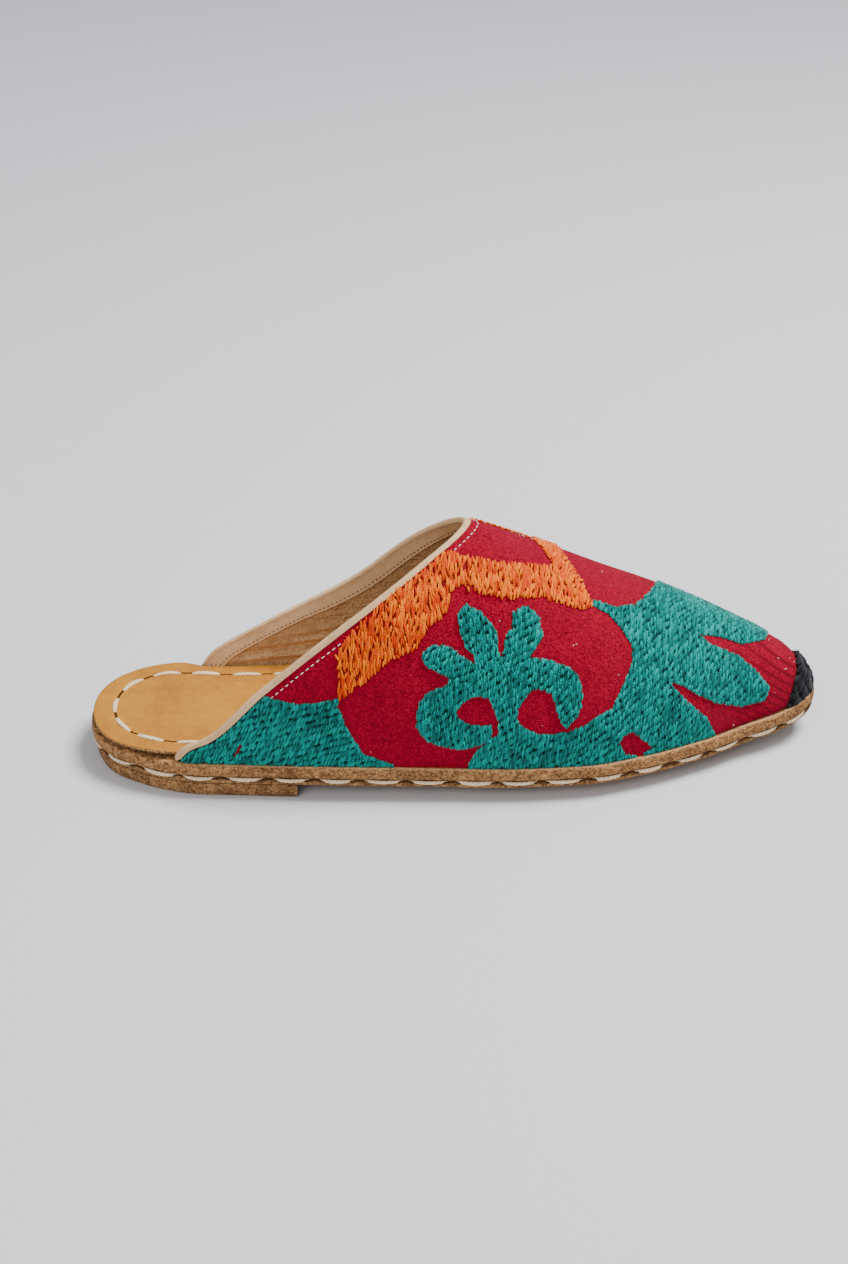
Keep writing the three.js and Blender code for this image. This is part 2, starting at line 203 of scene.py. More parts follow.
class Form:
    """The slipper's form: sole outline, tread, last and collar, all in mm."""

    STATIONS = [0.0, 0.06, 0.16, 0.3, 0.47, 0.58, 0.66, 0.74, 0.83, 0.92, 1.0]
    OUTER_SHARE = [0.93, 0.82, 0.87, 0.955, 1.02, 1.065, 1.05, 0.94, 0.725, 0.46, 0.36]
    INNER_SHARE = [0.89, 0.8, 0.73, 0.72, 0.78, 0.88, 0.955, 0.94, 0.8, 0.54, 0.4]
    RIDGE_AT = [0.0, 0.3, 0.51, 0.6, 0.7, 0.8, 0.9, 0.96, 1.0]
    RIDGE = [1.2, 1.1, 1.01, 0.866, 0.698, 0.548, 0.368, 0.225, 0.11]
    FULLNESS = [2.6, 2.4, 1.6, 2.15, 2.4, 2.4, 2.4, 2.4, 2.4]
    COLLAR_AT = [0.0, 0.1, 0.3, 0.6, 0.85, 1.0]
    OUTER_RISE = [0.0, 0.06, 0.342, 0.686, 0.904, 1.0]
    INNER_RISE = [0.0, 0.092, 0.254, 0.499, 0.824, 1.0]

    def __init__(self, sizes: Sizes) -> None:
        """Sets the form up from the slipper's sizes."""
        self.s = sizes
        self.outer = Column(self.STATIONS, self.OUTER_SHARE)
        self.inner = Column(self.STATIONS, self.INNER_SHARE)
        self.ridge_share = Column(self.RIDGE_AT, self.RIDGE)
        self.full = Column(self.RIDGE_AT, self.FULLNESS)
        self.rise = {
            OUTER: Column(self.COLLAR_AT, self.OUTER_RISE),
            INNER: Column(self.COLLAR_AT, self.INNER_RISE),
        }
        self.end = {OUTER: sizes.outer_end, INNER: sizes.inner_end}
        self.stack = sizes.outsole + sizes.seam + sizes.midsole
        self.tip = sizes.length - sizes.welt_edge

    def rounded(self, x: Array) -> Array:
        """Share of the full width that the rounded heel and toe leave at x."""
        s = self.s
        heel = 1 - np.clip((s.heel_round - x) / s.heel_round, 0, 1) ** 2
        toe = 1 - np.clip((x - (s.length - s.toe_round)) / s.toe_round, 0, 1) ** 2
        return np.sqrt(np.maximum(heel * toe, 0))

    def half_width(self, side: Array, x: Array) -> Array:
        """Half width of the sole at x on a side."""
        share = x / self.s.length
        full = np.where(np.asarray(side) == OUTER, self.outer(share), self.inner(share))
        return self.s.ball_width / 2 * full * self.rounded(x)

    def tread(self, x: Array, y: Array) -> Array:
        """Height of the outsole's underside over the floor at a point of the plan."""
        s = self.s
        across = np.abs(y) / np.maximum(self.half_width(np.where(y < 0, OUTER, INNER), x), 1)
        ahead = smooth(s.lift_length, s.tread_start, x)
        heel = (s.lift + s.seam) * (1 - ahead)
        spring = s.toe_spring * np.clip((x - s.tread_end) / (s.length - s.tread_end), 0, 1) ** 1.6
        edges = ahead * (1 - smooth(s.tread_end, s.length - 4, x))
        return heel + spring + s.edge_raise * edges * smooth(0.3, 1.1, across)

    def seat(self, x: Array, y: Array) -> Array:
        """Height of the midsole's top at a point of the plan."""
        return self.tread(x, y) + self.stack

    def feather_width(self, side: Array, x: Array) -> Array:
        """Half width of the upper's foot at x on a side."""
        q = x * self.s.length / self.tip
        return np.maximum(0, self.half_width(side, q) - self.s.welt_edge * self.rounded(q) ** 0.5)

    def feather_height(self, x: Array) -> Array:
        """Height of the upper's foot at x."""
        return self.seat(x, -self.feather_width(OUTER, x))

    def fullness(self, x: Array) -> Array:
        """How full the last's section is at x: 2 is an ellipse, more is fuller."""
        return self.full(x / self.s.length)

    def ridge(self, x: Array) -> Array:
        """Height of the last's ridge over the upper's foot at x."""
        nose = np.clip((x - (self.tip - self.s.toe_nose)) / self.s.toe_nose, 0, 1)
        fall = np.sqrt(np.maximum(0, 1 - nose**2.2))
        return self.s.instep * self.ridge_share(x / self.s.length) * fall

    def last(self, side: Array, x: Array, across: Array) -> Array:
        """Points of the upper's outer face at x and at a share of the half width on a side."""
        rise = np.sqrt(np.maximum(0, 1 - across ** self.fullness(x)))
        y = side * self.feather_width(side, x) * across
        return np.stack([x, y, self.feather_height(x) + self.ridge(x) * rise], -1)

    def collar_across(self, side: int, x: Array) -> Array:
        """The collar's edge on a side, as shares of the half width at x."""
        end, low = self.end[side], self.s.end_height
        rise = self.rise[side](np.clip((x - end) / (self.s.throat - end), 0, 1))
        height = low + (self.ridge(np.array([self.s.throat]))[0] - low) * rise
        corner = np.clip((self.s.corner - (x - end)) / self.s.corner, 0, 1)
        height = height * np.maximum(np.sqrt(1 - corner**2.4), 0.1)
        share = np.clip(height / self.ridge(x), 0, 1)
        return (1 - share**2) ** (1 / self.fullness(x))


FORM = Form(SIZES)


class Wall:
    """The upper's outer face as a fine grid of ribs, from the foot to the collar."""

    RIBS = 520
    STEPS = 110
    OUTMOST = 0.35

    def __init__(self, form: Form) -> None:
        """Lays the ribs out on a form."""
        self.form = form
        half = self.RIBS // 2
        share = eased(self.STEPS + 1) ** 1.25
        sides = []
        for side in SIDES:
            low = self._foot(side, half)[:, :1]
            high = self._edge(side, half)[:, :1]
            top = form.collar_across(side, high)
            x = low + (high - low) * share
            width = np.maximum(form.feather_width(side, x), 1e-6)
            low_y = form.feather_width(side, low)
            low_y[-1] = 0.0
            in_plan = low_y + (form.feather_width(side, high) * top - low_y) * share
            in_plan = np.minimum(1 + (top - 1) * share * self.OUTMOST, in_plan / width)
            by_share = 1 + (top - 1) * share
            straight = smooth(form.s.fan_from, form.s.fan_to, low)
            across = by_share + (in_plan - by_share) * straight
            sides.append((form.last(side, x, across), x, side * across))
        self.points, self.x, self.across = (
            np.concatenate([outer, inner[:-1][::-1]]) for outer, inner in zip(*sides)
        )
        self.rim = self.points[:, -1]
        self.up = unit(np.gradient(self.points, axis=1))
        self.normals = unit(np.cross(np.gradient(self.points, axis=0), self.up))
        self.normals[:, -1] = self.normals[:, -2]
        steps_back = np.linalg.norm(np.diff(self.points[:, ::-1], axis=1), axis=2)
        self.depth = np.pad(np.cumsum(steps_back, 1), ((0, 0), (1, 0)))

    def _foot(self, side: int, count: int) -> Array:
        """The upper's foot on a side, from the collar's end to the toe."""
        turn = np.sin(np.linspace(0, np.pi / 2, 900))
        x = self.form.end[side] + (self.form.tip - self.form.end[side]) * turn
        return evenly(self.form.last(side, x, np.ones_like(x)), count)

    def _edge(self, side: int, count: int) -> Array:
        """The collar's edge on a side, from its end to the throat."""
        turn = 1 - (1 - np.linspace(0, 1, 700)) ** 2
        x = self.form.end[side] + (self.form.s.throat - self.form.end[side]) * turn
        return evenly(self.form.last(side, x, self.form.collar_across(side, x)), count)

    def inward(self, points: Array, normals: Array, depth: Array) -> Array:
        """Points of the outer face moved in by a depth in mm against their normals, level at the foot."""
        form = self.form
        foot = form.feather_height(points[..., 0])
        share = smooth(0, 3 * form.s.wall, points[..., 2] - foot)
        way = normals.copy()
        way[..., 2] *= share
        moved = points - unit(way) * np.asarray(depth)[..., None]
        moved[..., 2] += (form.seat(moved[..., 0], moved[..., 1]) - foot) * (1 - share)
        return moved

    def below(self, depth: Array, out: float | Array) -> Array:
        """A line along the collar, at a depth below its edge and out from the outer face.

        Args:
            depth: mm below the edge at each rib; below 0 it lies over the edge.
            out: mm out from the outer face.

        Returns:
            One point a rib.
        """
        rows = np.arange(len(self.points))
        points = self.points[:, ::-1]
        normals = self.normals[:, ::-1]
        wanted = np.clip(depth, 0, self.depth[:, -1])
        k = np.clip((self.depth < wanted[:, None]).sum(1), 1, self.depth.shape[1] - 1)
        low = self.depth[rows, k - 1]
        t = ((wanted - low) / (self.depth[rows, k] - low))[:, None]
        point = points[rows, k - 1] * (1 - t) + points[rows, k] * t
        normal = unit(normals[rows, k - 1] * (1 - t) + normals[rows, k] * t)
        out = np.broadcast_to(out, len(point))
        if np.all(out < 0) and np.all(depth >= 0):
            return self.inward(point, normal, -out)
        return point + self.up[:, -1] * np.maximum(0, -depth)[:, None] + normal * out[:, None]


class Station(Enum):
    """Where the photo's view of the slipper is taken from, in degrees, mm and steps of the picture."""

    AZIMUTH = -3.34
    ELEVATION = 29.0
    DISTANCE = 809.0
    FOCAL = 2200.0
    CENTRE_U = 424.0
    CENTRE_V = 632.0
    HEEL_U = 94.6
    HEEL_V = 707.0
    TALL = 1264.0


class View:
    """The camera's view, which is also the plane on which the embroidery is drafted."""

    HEEL = np.array([0.9, 0.0, 16.3])

    def __init__(self) -> None:
        """Works out where the camera stands from where the heel's back is seen."""
        a = math.radians(Station.AZIMUTH.value)
        e = math.radians(Station.ELEVATION.value)
        self.back = np.array([math.sin(a) * math.cos(e), -math.cos(a) * math.cos(e), math.sin(e)])
        self.right = np.array([math.cos(a), math.sin(a), 0.0])
        self.up = np.cross(self.back, self.right)
        over = (Station.HEEL_U.value - Station.CENTRE_U.value) / Station.FOCAL.value
        rise = (Station.CENTRE_V.value - Station.HEEL_V.value) / Station.FOCAL.value
        ray = over * self.right + rise * self.up - self.back
        self.place = self.HEEL - ray * Station.DISTANCE.value

    def project(self, points: Array) -> tuple[Array, Array]:
        """Where points are seen, right and down in the picture's own steps."""
        d = points - self.place
        scale = Station.FOCAL.value / -(d @ self.back)
        u = Station.CENTRE_U.value + (d @ self.right) * scale
        return u, Station.CENTRE_V.value - (d @ self.up) * scale


VIEW = View()


class Skin:
    """The upper's outer face by mm along the ridge and by share of the girth, for laying stitches on."""

    ALONG = 560
    AROUND = 260
    TURNS = 360
    UNROLLED = 2.6

    def __init__(self, form: Form, view: View) -> None:
        """Tabulates the face, its normals and its place in the draft."""
        self.form = form
        x = np.concatenate([np.linspace(24, 240, 500), np.linspace(240.2, form.tip - 0.02, 400)])
        line = np.stack([x, np.zeros_like(x), form.feather_height(x) + form.ridge(x)], 1)
        self.x = evenly(line, self.ALONG)[:, 0]
        self.t = np.arange(self.ALONG + 1) * measured(line)[-1] / self.ALONG
        turn = np.linspace(-np.pi / 2, np.pi / 2, self.TURNS + 1)
        side = np.where(turn < 0, OUTER, INNER)
        rings = [form.last(side, np.full_like(turn, here), np.abs(np.sin(turn))) for here in self.x]
        runs = np.array([measured(ring) for ring in rings])
        self.girth = runs[:, -1]
        self.share = runs / np.maximum(self.girth, 1e-9)[:, None]
        self.points = np.array([evenly(ring, self.AROUND) for ring in rings])
        across = np.gradient(self.points, axis=1)
        self.normals = unit(np.cross(np.gradient(self.points, axis=0), across))
        self.u, self.v = self._draft(view)

    def _draft(self, view: View) -> tuple[Array, Array]:
        """The face in the draft, unrolled upwards past the line that hides the inner side."""
        u, v = view.project(self.points)
        step = np.linalg.norm(np.diff(self.points, axis=1), axis=2)
        run = np.pad(np.cumsum(step, 1), ((0, 0), (1, 0)))
        rows = np.arange(len(v))
        top = np.argmin(v, axis=1)
        past = np.arange(v.shape[1])[None] > top[:, None]
        beyond = run - run[rows, top][:, None]
        u = np.where(past, u[rows, top][:, None], u)
        v = np.where(past, v[rows, top][:, None] - self.UNROLLED * beyond, v)
        return u, v

    def _row(self, t: Array) -> Array:
        """The tables' rows for mm along the ridge."""
        return np.clip(t / self.t[1], 0, len(self.t) - 1.001)

    def read(self, table: Array, t: Array, k: Array) -> Array:
        """A table's values at mm along the ridge (t) and shares of the girth (k)."""
        return blend(table, self._row(t), np.clip(k * self.AROUND, 0, self.AROUND - 0.001))

    def place_of(self, x: Array, across: Array) -> tuple[Array, Array]:
        """mm along the ridge and share of the girth at x and a signed share of the half width."""
        t = np.interp(x, self.x, self.t)
        turn = np.arcsin(np.clip(across, -1, 1))
        j = np.clip((turn + np.pi / 2) / np.pi * self.TURNS, 0, self.TURNS - 0.001)
        return t, blend(self.share, self._row(t), j)

    def girth_at(self, t: Array) -> Array:
        """The girth at places along the ridge."""
        return np.interp(t, self.t, self.girth)


def inside(outline: list[tuple[float, float]], u: Array, v: Array) -> Array:
    """Whether points lie inside an outline."""
    edge = np.array(outline, float)
    hit = np.zeros(u.shape, bool)
    for (ax, ay), (bx, by) in zip(edge, np.roll(edge, -1, axis=0)):
        if ay != by:
            crosses = (ay > v) != (by > v)
            hit ^= crosses & (u < (bx - ax) * (v - ay) / (by - ay) + ax)
    return hit


class Yarn(Enum):
    """Colours of embroidery yarn, and the ground they lie on."""

    GROUND = 0
    TEAL = 1
    ORANGE = 2
    BLACK = 3
    GREEN = 4
    GREY = 5


@dataclass(frozen=True)
class Patch:
    """One patch of the embroidery.

    Args:
        yarn: Its colour.
        lie: The stitches' angle to the ridge line in degrees, rising towards the inner side.
        outline: Its corners, in the draft or on the inner side.
    """

    yarn: Yarn
    lie: float
    outline: list[tuple[float, float]]


REAR_LEAF = [
    (190, 735), (264, 697), (290, 704), (315, 704), (338, 699), (337, 707), (348, 732), (364, 755),
    (396, 766), (396, 800), (100, 800), (100, 735),
]
REAR_LEAF_NICK = [(240, 743), (242, 744), (240, 750), (235, 757), (233, 757), (237, 749)]
REAR_BAND = [
    (339, 699), (338, 680), (337, 657), (345, 640), (400, 585), (440, 552), (458, 556), (483, 562),
    (512, 566), (555, 568), (575, 588), (590, 603), (591, 607), (585, 608), (541, 596), (503, 596),
    (468, 588), (459, 583), (450, 594), (448, 609), (427, 628), (415, 648), (389, 659), (366, 679),
]
THROAT_BAND = [
    (474, 514), (503, 521), (530, 536), (544, 550), (556, 569), (575, 592), (591, 607), (590, 602),
    (574, 571), (556, 547), (538, 533), (512, 523), (500, 500), (476, 470), (452, 455), (440, 474),
    (458, 498),
]
LEFT_PETAL = [
    (422, 659), (422, 654), (431, 646), (442, 646), (452, 648), (457, 654), (473, 664), (482, 672),
    (465, 686), (451, 679), (438, 672), (427, 667),
]
MIDDLE_PETAL = [
    (457, 615), (461, 610), (466, 604), (471, 608), (482, 613), (487, 621), (493, 626), (497, 633),
    (498, 651), (502, 660), (480, 672), (475, 664), (474, 655), (465, 647), (464, 641), (459, 632),
]
RIGHT_PETAL = [
    (505, 637), (511, 627), (513, 612), (524, 606), (534, 612), (539, 618), (540, 627), (543, 636),
    (538, 645), (531, 654), (530, 662), (515, 670), (498, 664), (504, 650),
]
HOOKS = [
    (451, 679), (475, 665), (500, 660), (530, 658), (550, 661), (566, 667), (576, 674), (581, 684),
    (582, 697), (581, 707), (577, 716), (570, 724), (567, 728), (561, 723), (557, 711), (555, 702),
    (550, 693), (540, 689), (530, 691), (525, 698), (519, 707), (517, 718), (519, 724), (528, 731),
    (512, 748), (496, 742), (499, 732), (498, 720), (494, 709), (489, 698), (482, 696), (471, 697),
    (464, 702), (461, 705), (456, 712), (459, 719), (466, 724), (476, 726), (492, 726), (493, 734),
    (489, 739), (482, 744), (471, 748), (459, 749), (442, 746), (429, 742), (422, 735), (417, 728),
    (416, 718), (419, 703), (428, 693), (445, 687),
]
GREAT_LEAF = [
    (468, 764), (476, 752), (489, 740), (500, 735), (519, 726), (528, 730), (540, 735), (553, 735),
    (568, 732), (585, 726), (594, 719), (612, 709), (623, 685), (632, 662), (631, 644), (620, 627),
    (609, 615), (590, 604), (594, 601), (615, 608), (635, 605), (645, 597), (657, 583), (664, 556),
    (690, 536), (724, 552), (750, 590), (767, 635), (764, 640), (741, 644), (720, 637), (698, 635),
    (711, 646), (738, 656), (758, 674), (769, 688), (764, 700), (741, 706), (717, 703), (697, 694),
    (682, 685), (669, 681), (673, 688), (688, 703), (706, 718), (714, 734), (718, 750), (700, 775),
    (640, 800), (465, 800),
]
LEAF_WINDOW = [(619, 744), (623, 735), (632, 731), (641, 738), (653, 748), (640, 756), (624, 755)]
TOE_CAP = [
    (791, 643), (794, 650), (796, 662), (796, 672), (792, 690), (788, 702), (784, 720), (840, 730),
    (840, 560), (786, 560), (786, 620),
]
INNER_SPRIG = [
    (116, -1), (117, 8), (124, 18), (138, 26), (154, 27), (146, 17), (160, 18), (174, 14),
    (168, 6), (158, -1),
]

# Drafted as seen from the outer side, in steps of the view.
DRAFTED = [
    Patch(Yarn.TEAL, 68, REAR_LEAF),
    Patch(Yarn.GROUND, 0, REAR_LEAF_NICK),
    Patch(Yarn.ORANGE, 88, REAR_BAND),
    Patch(Yarn.ORANGE, 62, THROAT_BAND),
    Patch(Yarn.TEAL, 80, GREAT_LEAF),
    Patch(Yarn.GROUND, 0, LEAF_WINDOW),
    Patch(Yarn.TEAL, 86, HOOKS),
    Patch(Yarn.TEAL, 74, LEFT_PETAL),
    Patch(Yarn.TEAL, 96, MIDDLE_PETAL),
    Patch(Yarn.TEAL, 76, RIGHT_PETAL),
    Patch(Yarn.BLACK, 40, TOE_CAP),
]

# On the inner side, by mm from the heel back and mm up from the upper's foot.
HIDDEN = [
    Patch(Yarn.GREEN, 70, [(52, 0), (56, 12), (66, 19), (82, 20), (96, 14), (103, 5), (104, -1), (52, -1)]),
    Patch(Yarn.TEAL, 80, INNER_SPRIG),
    Patch(Yarn.BLACK, 60, [(181, -1), (189, -1), (203, 30), (197, 33), (190, 20)]),
    Patch(Yarn.GREY, 65, [(205, 4), (208, 16), (217, 24), (228, 22), (234, 13), (226, 7), (215, 3)]),
]
PATCHES = DRAFTED + HIDDEN


@dataclass(frozen=True)
class Lay:
    """How one colour of yarn is laid, in millimetres.

    Args:
        length: A stitch's length.
        pitch: From one strand to the next.
        width: A strand's width.
        slope: How far each stitch starts before its neighbour, by mm across.
        uneven: How far the starts stray.
        raised: Height over the ground.
        pitted: Share of the ends that leave a dark pit.
        pit: How far such an end draws back.
        missing: Share of the stitches left out.
        ragged: How far loose ends reach over the outline.
        slant: How far a stitch leans.
        varied: How much the tone differs from stitch to stitch.
    """

    length: float = 3.1
    pitch: float = 0.5
    width: float = 0.68
    slope: float = -0.8
    uneven: float = 0.3
    raised: float = 0.6
    pitted: float = 0.42
    pit: float = 0.46
    missing: float = 0.002
    ragged: float = 0.4
    slant: float = 0.16
    varied: float = 0.45


LAYS = {
    Yarn.TEAL: Lay(),
    Yarn.ORANGE: Lay(
        length=3.3, pitch=0.62, width=0.74, slope=-1.2, uneven=0.9, raised=0.75, pitted=0.26, pit=0.4,
        missing=0.08, ragged=1.5, slant=0.66, varied=0.7,
    ),
    Yarn.BLACK: Lay(length=4.5, pitch=1.3, width=1.9, slope=0.2, uneven=0.8, raised=1.0, pitted=0.5, pit=0.5),
    Yarn.GREEN: Lay(),
    Yarn.GREY: Lay(),
}


class Pattern:
    """The embroidery's patches, mapped once over the skin."""

    CELLS = 900
    CLEAR = 0.35

    def __init__(self, skin: Skin, rim: Array) -> None:
        """Maps the patches.

        Args:
            skin: The upper's outer face.
            rim: The collar's edge, one point a row.
        """
        self.skin = skin
        self.end = skin.t[-1] - 0.25
        ones = np.ones((self.CELLS + 1, self.CELLS + 1))
        self.t = np.linspace(0, self.end, self.CELLS + 1)[:, None] * ones
        k = np.linspace(0, 1, self.CELLS + 1)[None] * ones
        self.upper = self._on_upper(skin.read(skin.points, self.t, k), rim)
        self.g = k * skin.girth_at(self.t)
        u, v = (skin.read(table, self.t, k) for table in (skin.u, skin.v))
        x = np.interp(self.t, skin.t, skin.x)
        up = (1 - k) * skin.girth_at(self.t)
        self.map = np.zeros(self.t.shape, int)
        for number, patch in enumerate(PATCHES, start=1):
            if number <= len(DRAFTED):
                hit = inside(patch.outline, u, v)
            else:
                hit = inside(patch.outline, x, up) & (k > 0.5) & (self.map == 0)
            self.map[hit] = 0 if patch.yarn is Yarn.GROUND else number
        # Blurred and widened past the outlines, so the velvet gets a soft rim of painted shade round the
        # embroidery.
        kinds = np.array([0.0] + [0.5 if patch.yarn is Yarn.ORANGE else 1.0 for patch in PATCHES])
        soft = kinds[self.map]
        for axis, reach in ((0, 2), (1, 3)):
            soft = sum(np.roll(soft, step, axis) for step in range(-reach, reach + 1)) / (2 * reach + 1)
        self.soft = np.clip(soft * 1.35, 0, 1)
        self.map[~self.upper] = 0
        self.map[:, [0, -1]] = 0

    def _on_upper(self, points: Array, rim: Array) -> Array:
        """Whether points of the last lie on the upper, clear of the binding's outer leg."""
        form = self.skin.form
        x = points[..., 0]
        height = points[..., 2] - form.feather_height(x)
        keep = np.ones(x.shape, bool)
        for side in SIDES:
            here = (points[..., 1] < 0) == (side == OUTER)
            limit = form.ridge(x) * np.sqrt(
                np.maximum(0, 1 - form.collar_across(side, x) ** form.fullness(x))
            )
            keep &= ~(here & (x < form.s.throat) & (height > limit)) & ~(here & (x < form.end[side] + 1.0))
        near = keep & (x < form.s.throat + 12)
        parts = np.array_split(points[near], 300)
        gaps = [np.linalg.norm(part[:, None] - rim[None], axis=2).min(1) for part in parts]
        keep[near] = np.concatenate(gaps) > form.s.binding + self.CLEAR
        return keep

    def _cell(self, t: Array, k: Array) -> tuple[Array, Array]:
        top = self.CELLS - 0.001
        return np.clip(t / self.end * self.CELLS, 0, top), np.clip(k * self.CELLS, 0, top)

    def patch_at(self, t: Array, k: Array) -> Array:
        """The number of the patch at places of the skin, counting from 1, or 0 on bare ground."""
        i, j = self._cell(t, k)
        found = self.map[np.rint(i).astype(int), np.rint(j).astype(int)]
        return np.where((t > 0) & (t < self.end) & (k > 0) & (k < 1), found, 0)

    def cover(self, x: Array, across: Array) -> Array:
        """How far embroidery covers places at x and a signed share of the half width, blurred past its
        outlines as a rim of painted shade: 1, 0.5 if orange.
        """
        return blend(self.soft, *self._cell(*self.skin.place_of(x, across)))


@dataclass
class Soup:
    """Vertices and faces of one mesh, with a place along and across each strand and a tone."""

    points: Array
    faces: Array
    strand: Array
    tone: Array


def join(soups: list[Soup]) -> Soup:
    """Several groups of strands as one."""
    starts = np.cumsum([0] + [len(s.points) for s in soups[:-1]])
    return Soup(
        np.concatenate([s.points for s in soups]),
        np.concatenate([s.faces + n for s, n in zip(soups, starts)]),
        np.concatenate([s.strand for s in soups]),
        np.concatenate([s.tone for s in soups]),
    )


def strands(
    path: Array, normal: Array, width: Array, height: Array, corners: int, seed: int, whole: bool = False,
    blunt: float = 6.0, taper: Array | None = None,
) -> Soup:
    """Half-round or round strips of thread along many paths at once.

    Args:
        path: Points by strand and by step, in mm.
        normal: Which way is up at each.
        width: Each strand's width in mm.
        height: Each strand's height in mm.
        corners: Points of its section.
        seed: What the tones are drawn from.
        whole: Whether its section closes below.
        blunt: How square its ends are.
        taper: Shares of the full size by strand and step, in place of ends shaped by blunt.

    Returns:
        The strands as one mesh.
    """
    count, steps, _ = path.shape
    along = unit(np.gradient(path, axis=1))
    side = unit(np.cross(normal, along))
    top = unit(np.cross(along, side))
    share = np.linspace(0, 1, steps)
    if taper is None:
        taper = np.maximum(np.sqrt(np.maximum(0, 1 - np.abs(2 * share - 1) ** blunt)), 0.12)[None]
    arc, wrap, below = (2 * np.pi, corners, 2) if whole else (np.pi, corners - 1, 1)
    turn = np.linspace(0, arc, wrap + 1)[:corners]
    half = (width / 2)[:, None, None] * taper[..., None] * np.cos(turn)
    rise = (height / below)[:, None, None] * taper[..., None] * np.sin(turn)
    points = path[:, :, None] + side[:, :, None] * half[..., None] + top[:, :, None] * rise[..., None]
    i, j, m = np.meshgrid(np.arange(count), np.arange(steps - 1), np.arange(wrap), indexing="ij")
    a = (i * steps + j) * corners + m
    b = (i * steps + j) * corners + (m + 1) % corners
    faces = np.stack([a, b, b + corners, a + corners], -1).reshape(-1, 4)
    length = np.linalg.norm(np.diff(path, axis=1), axis=2).sum(1)[:, None, None]
    apart = np.arange(count)[:, None, None] * 7.31
    place = np.broadcast_to(share[None, :, None] * length + apart, (count, steps, corners))
    over = np.broadcast_to(turn / arc, place.shape)
    draw = np.random.default_rng(seed).random(count)
    tone = np.broadcast_to(draw[:, None, None], place.shape).reshape(-1)
    return Soup(points.reshape(-1, 3), faces, np.stack([place, over], -1).reshape(-1, 2), tone)


def grid_faces(rows: int, columns: int, wrapped: bool = False) -> Array:
    """Faces of a grid of points, four corners each; wrapped joins the last column to the first."""
    i, j = np.meshgrid(np.arange(rows - 1), np.arange(columns if wrapped else columns - 1), indexing="ij")
    a = i * columns + j
    b = i * columns + (j + 1) % columns
    return np.stack([a, a + columns, b + columns, b], -1).reshape(-1, 4)


class Maker:
    """Turns points in mm into Blender objects in the part's frame."""

    def __init__(self, form: Form) -> None:
        """Works out how far the CAD moved the form to centre its footprint."""
        x = np.linspace(0, form.s.length, 4000)
        outer, inner = (form.half_width(side, x).max() for side in SIDES)
        self.shift = np.array([-form.s.length / 2, (outer - inner) / 2, 0.0])

    def place(self, points: Array) -> Array:
        """Points in mm from the heel back as metres in the part's frame."""
        return (points + self.shift) * MM

    def mesh(
        self, name: str, points: Array, faces: Array, material: Material, tone: Array | None = None,
        strand: Array | None = None,
    ) -> Object:
        """Makes one object.

        Args:
            name: Its name.
            points: Its points in mm from the heel back, in rows or as a list.
            faces: Its faces, of four corners each.
            material: Its finish.
            tone: A value for each point, kept as an attribute.
            strand: A place along and across for each point, kept as an attribute.

        Returns:
            The object.
        """
        points = points.reshape(-1, 3)
        data = bpy.data.meshes.new(name)
        data.vertices.add(len(points))
        data.vertices.foreach_set("co", self.place(points).astype(np.float32).ravel())
        data.loops.add(faces.size)
        data.loops.foreach_set("vertex_index", faces.astype(np.int32).ravel())
        data.polygons.add(len(faces))
        data.polygons.foreach_set("loop_start", np.arange(0, faces.size, 4, dtype=np.int32))
        data.polygons.foreach_set("loop_total", np.full(len(faces), 4, dtype=np.int32))
        data.polygons.foreach_set("use_smooth", np.ones(len(faces), bool))
        data.update(calc_edges=True)
        kept = (("strand", "FLOAT2", "vector", strand), ("tone", "FLOAT", "value", tone))
        for key, kind, part, values in kept:
            if values is not None:
                layer = data.attributes.new(key, kind, "POINT")
                layer.data.foreach_set(part, values.astype(np.float32).ravel())
        data.materials.append(material)
        obj = bpy.data.objects.new(name, data)
        bpy.context.scene.collection.objects.link(obj)
        return obj

    def soup(self, name: str, soup: Soup, material: Material) -> Object:
        """Makes one object of strands."""
        return self.mesh(name, soup.points, soup.faces, material, soup.tone, soup.strand)


class Socket:
    """A value in a material's node tree that can be reckoned with."""

    def __init__(self, tree: "Tree", out: object) -> None:
        """Keeps the value and its tree."""
        self.tree = tree
        self.out = out

    def __add__(self, other: object) -> "Socket":
        return self.tree.math("ADD", self, other)

    def __sub__(self, other: object) -> "Socket":
        return self.tree.math("SUBTRACT", self, other)

    def __mul__(self, other: object) -> "Socket":
        return self.tree.math("MULTIPLY", self, other)


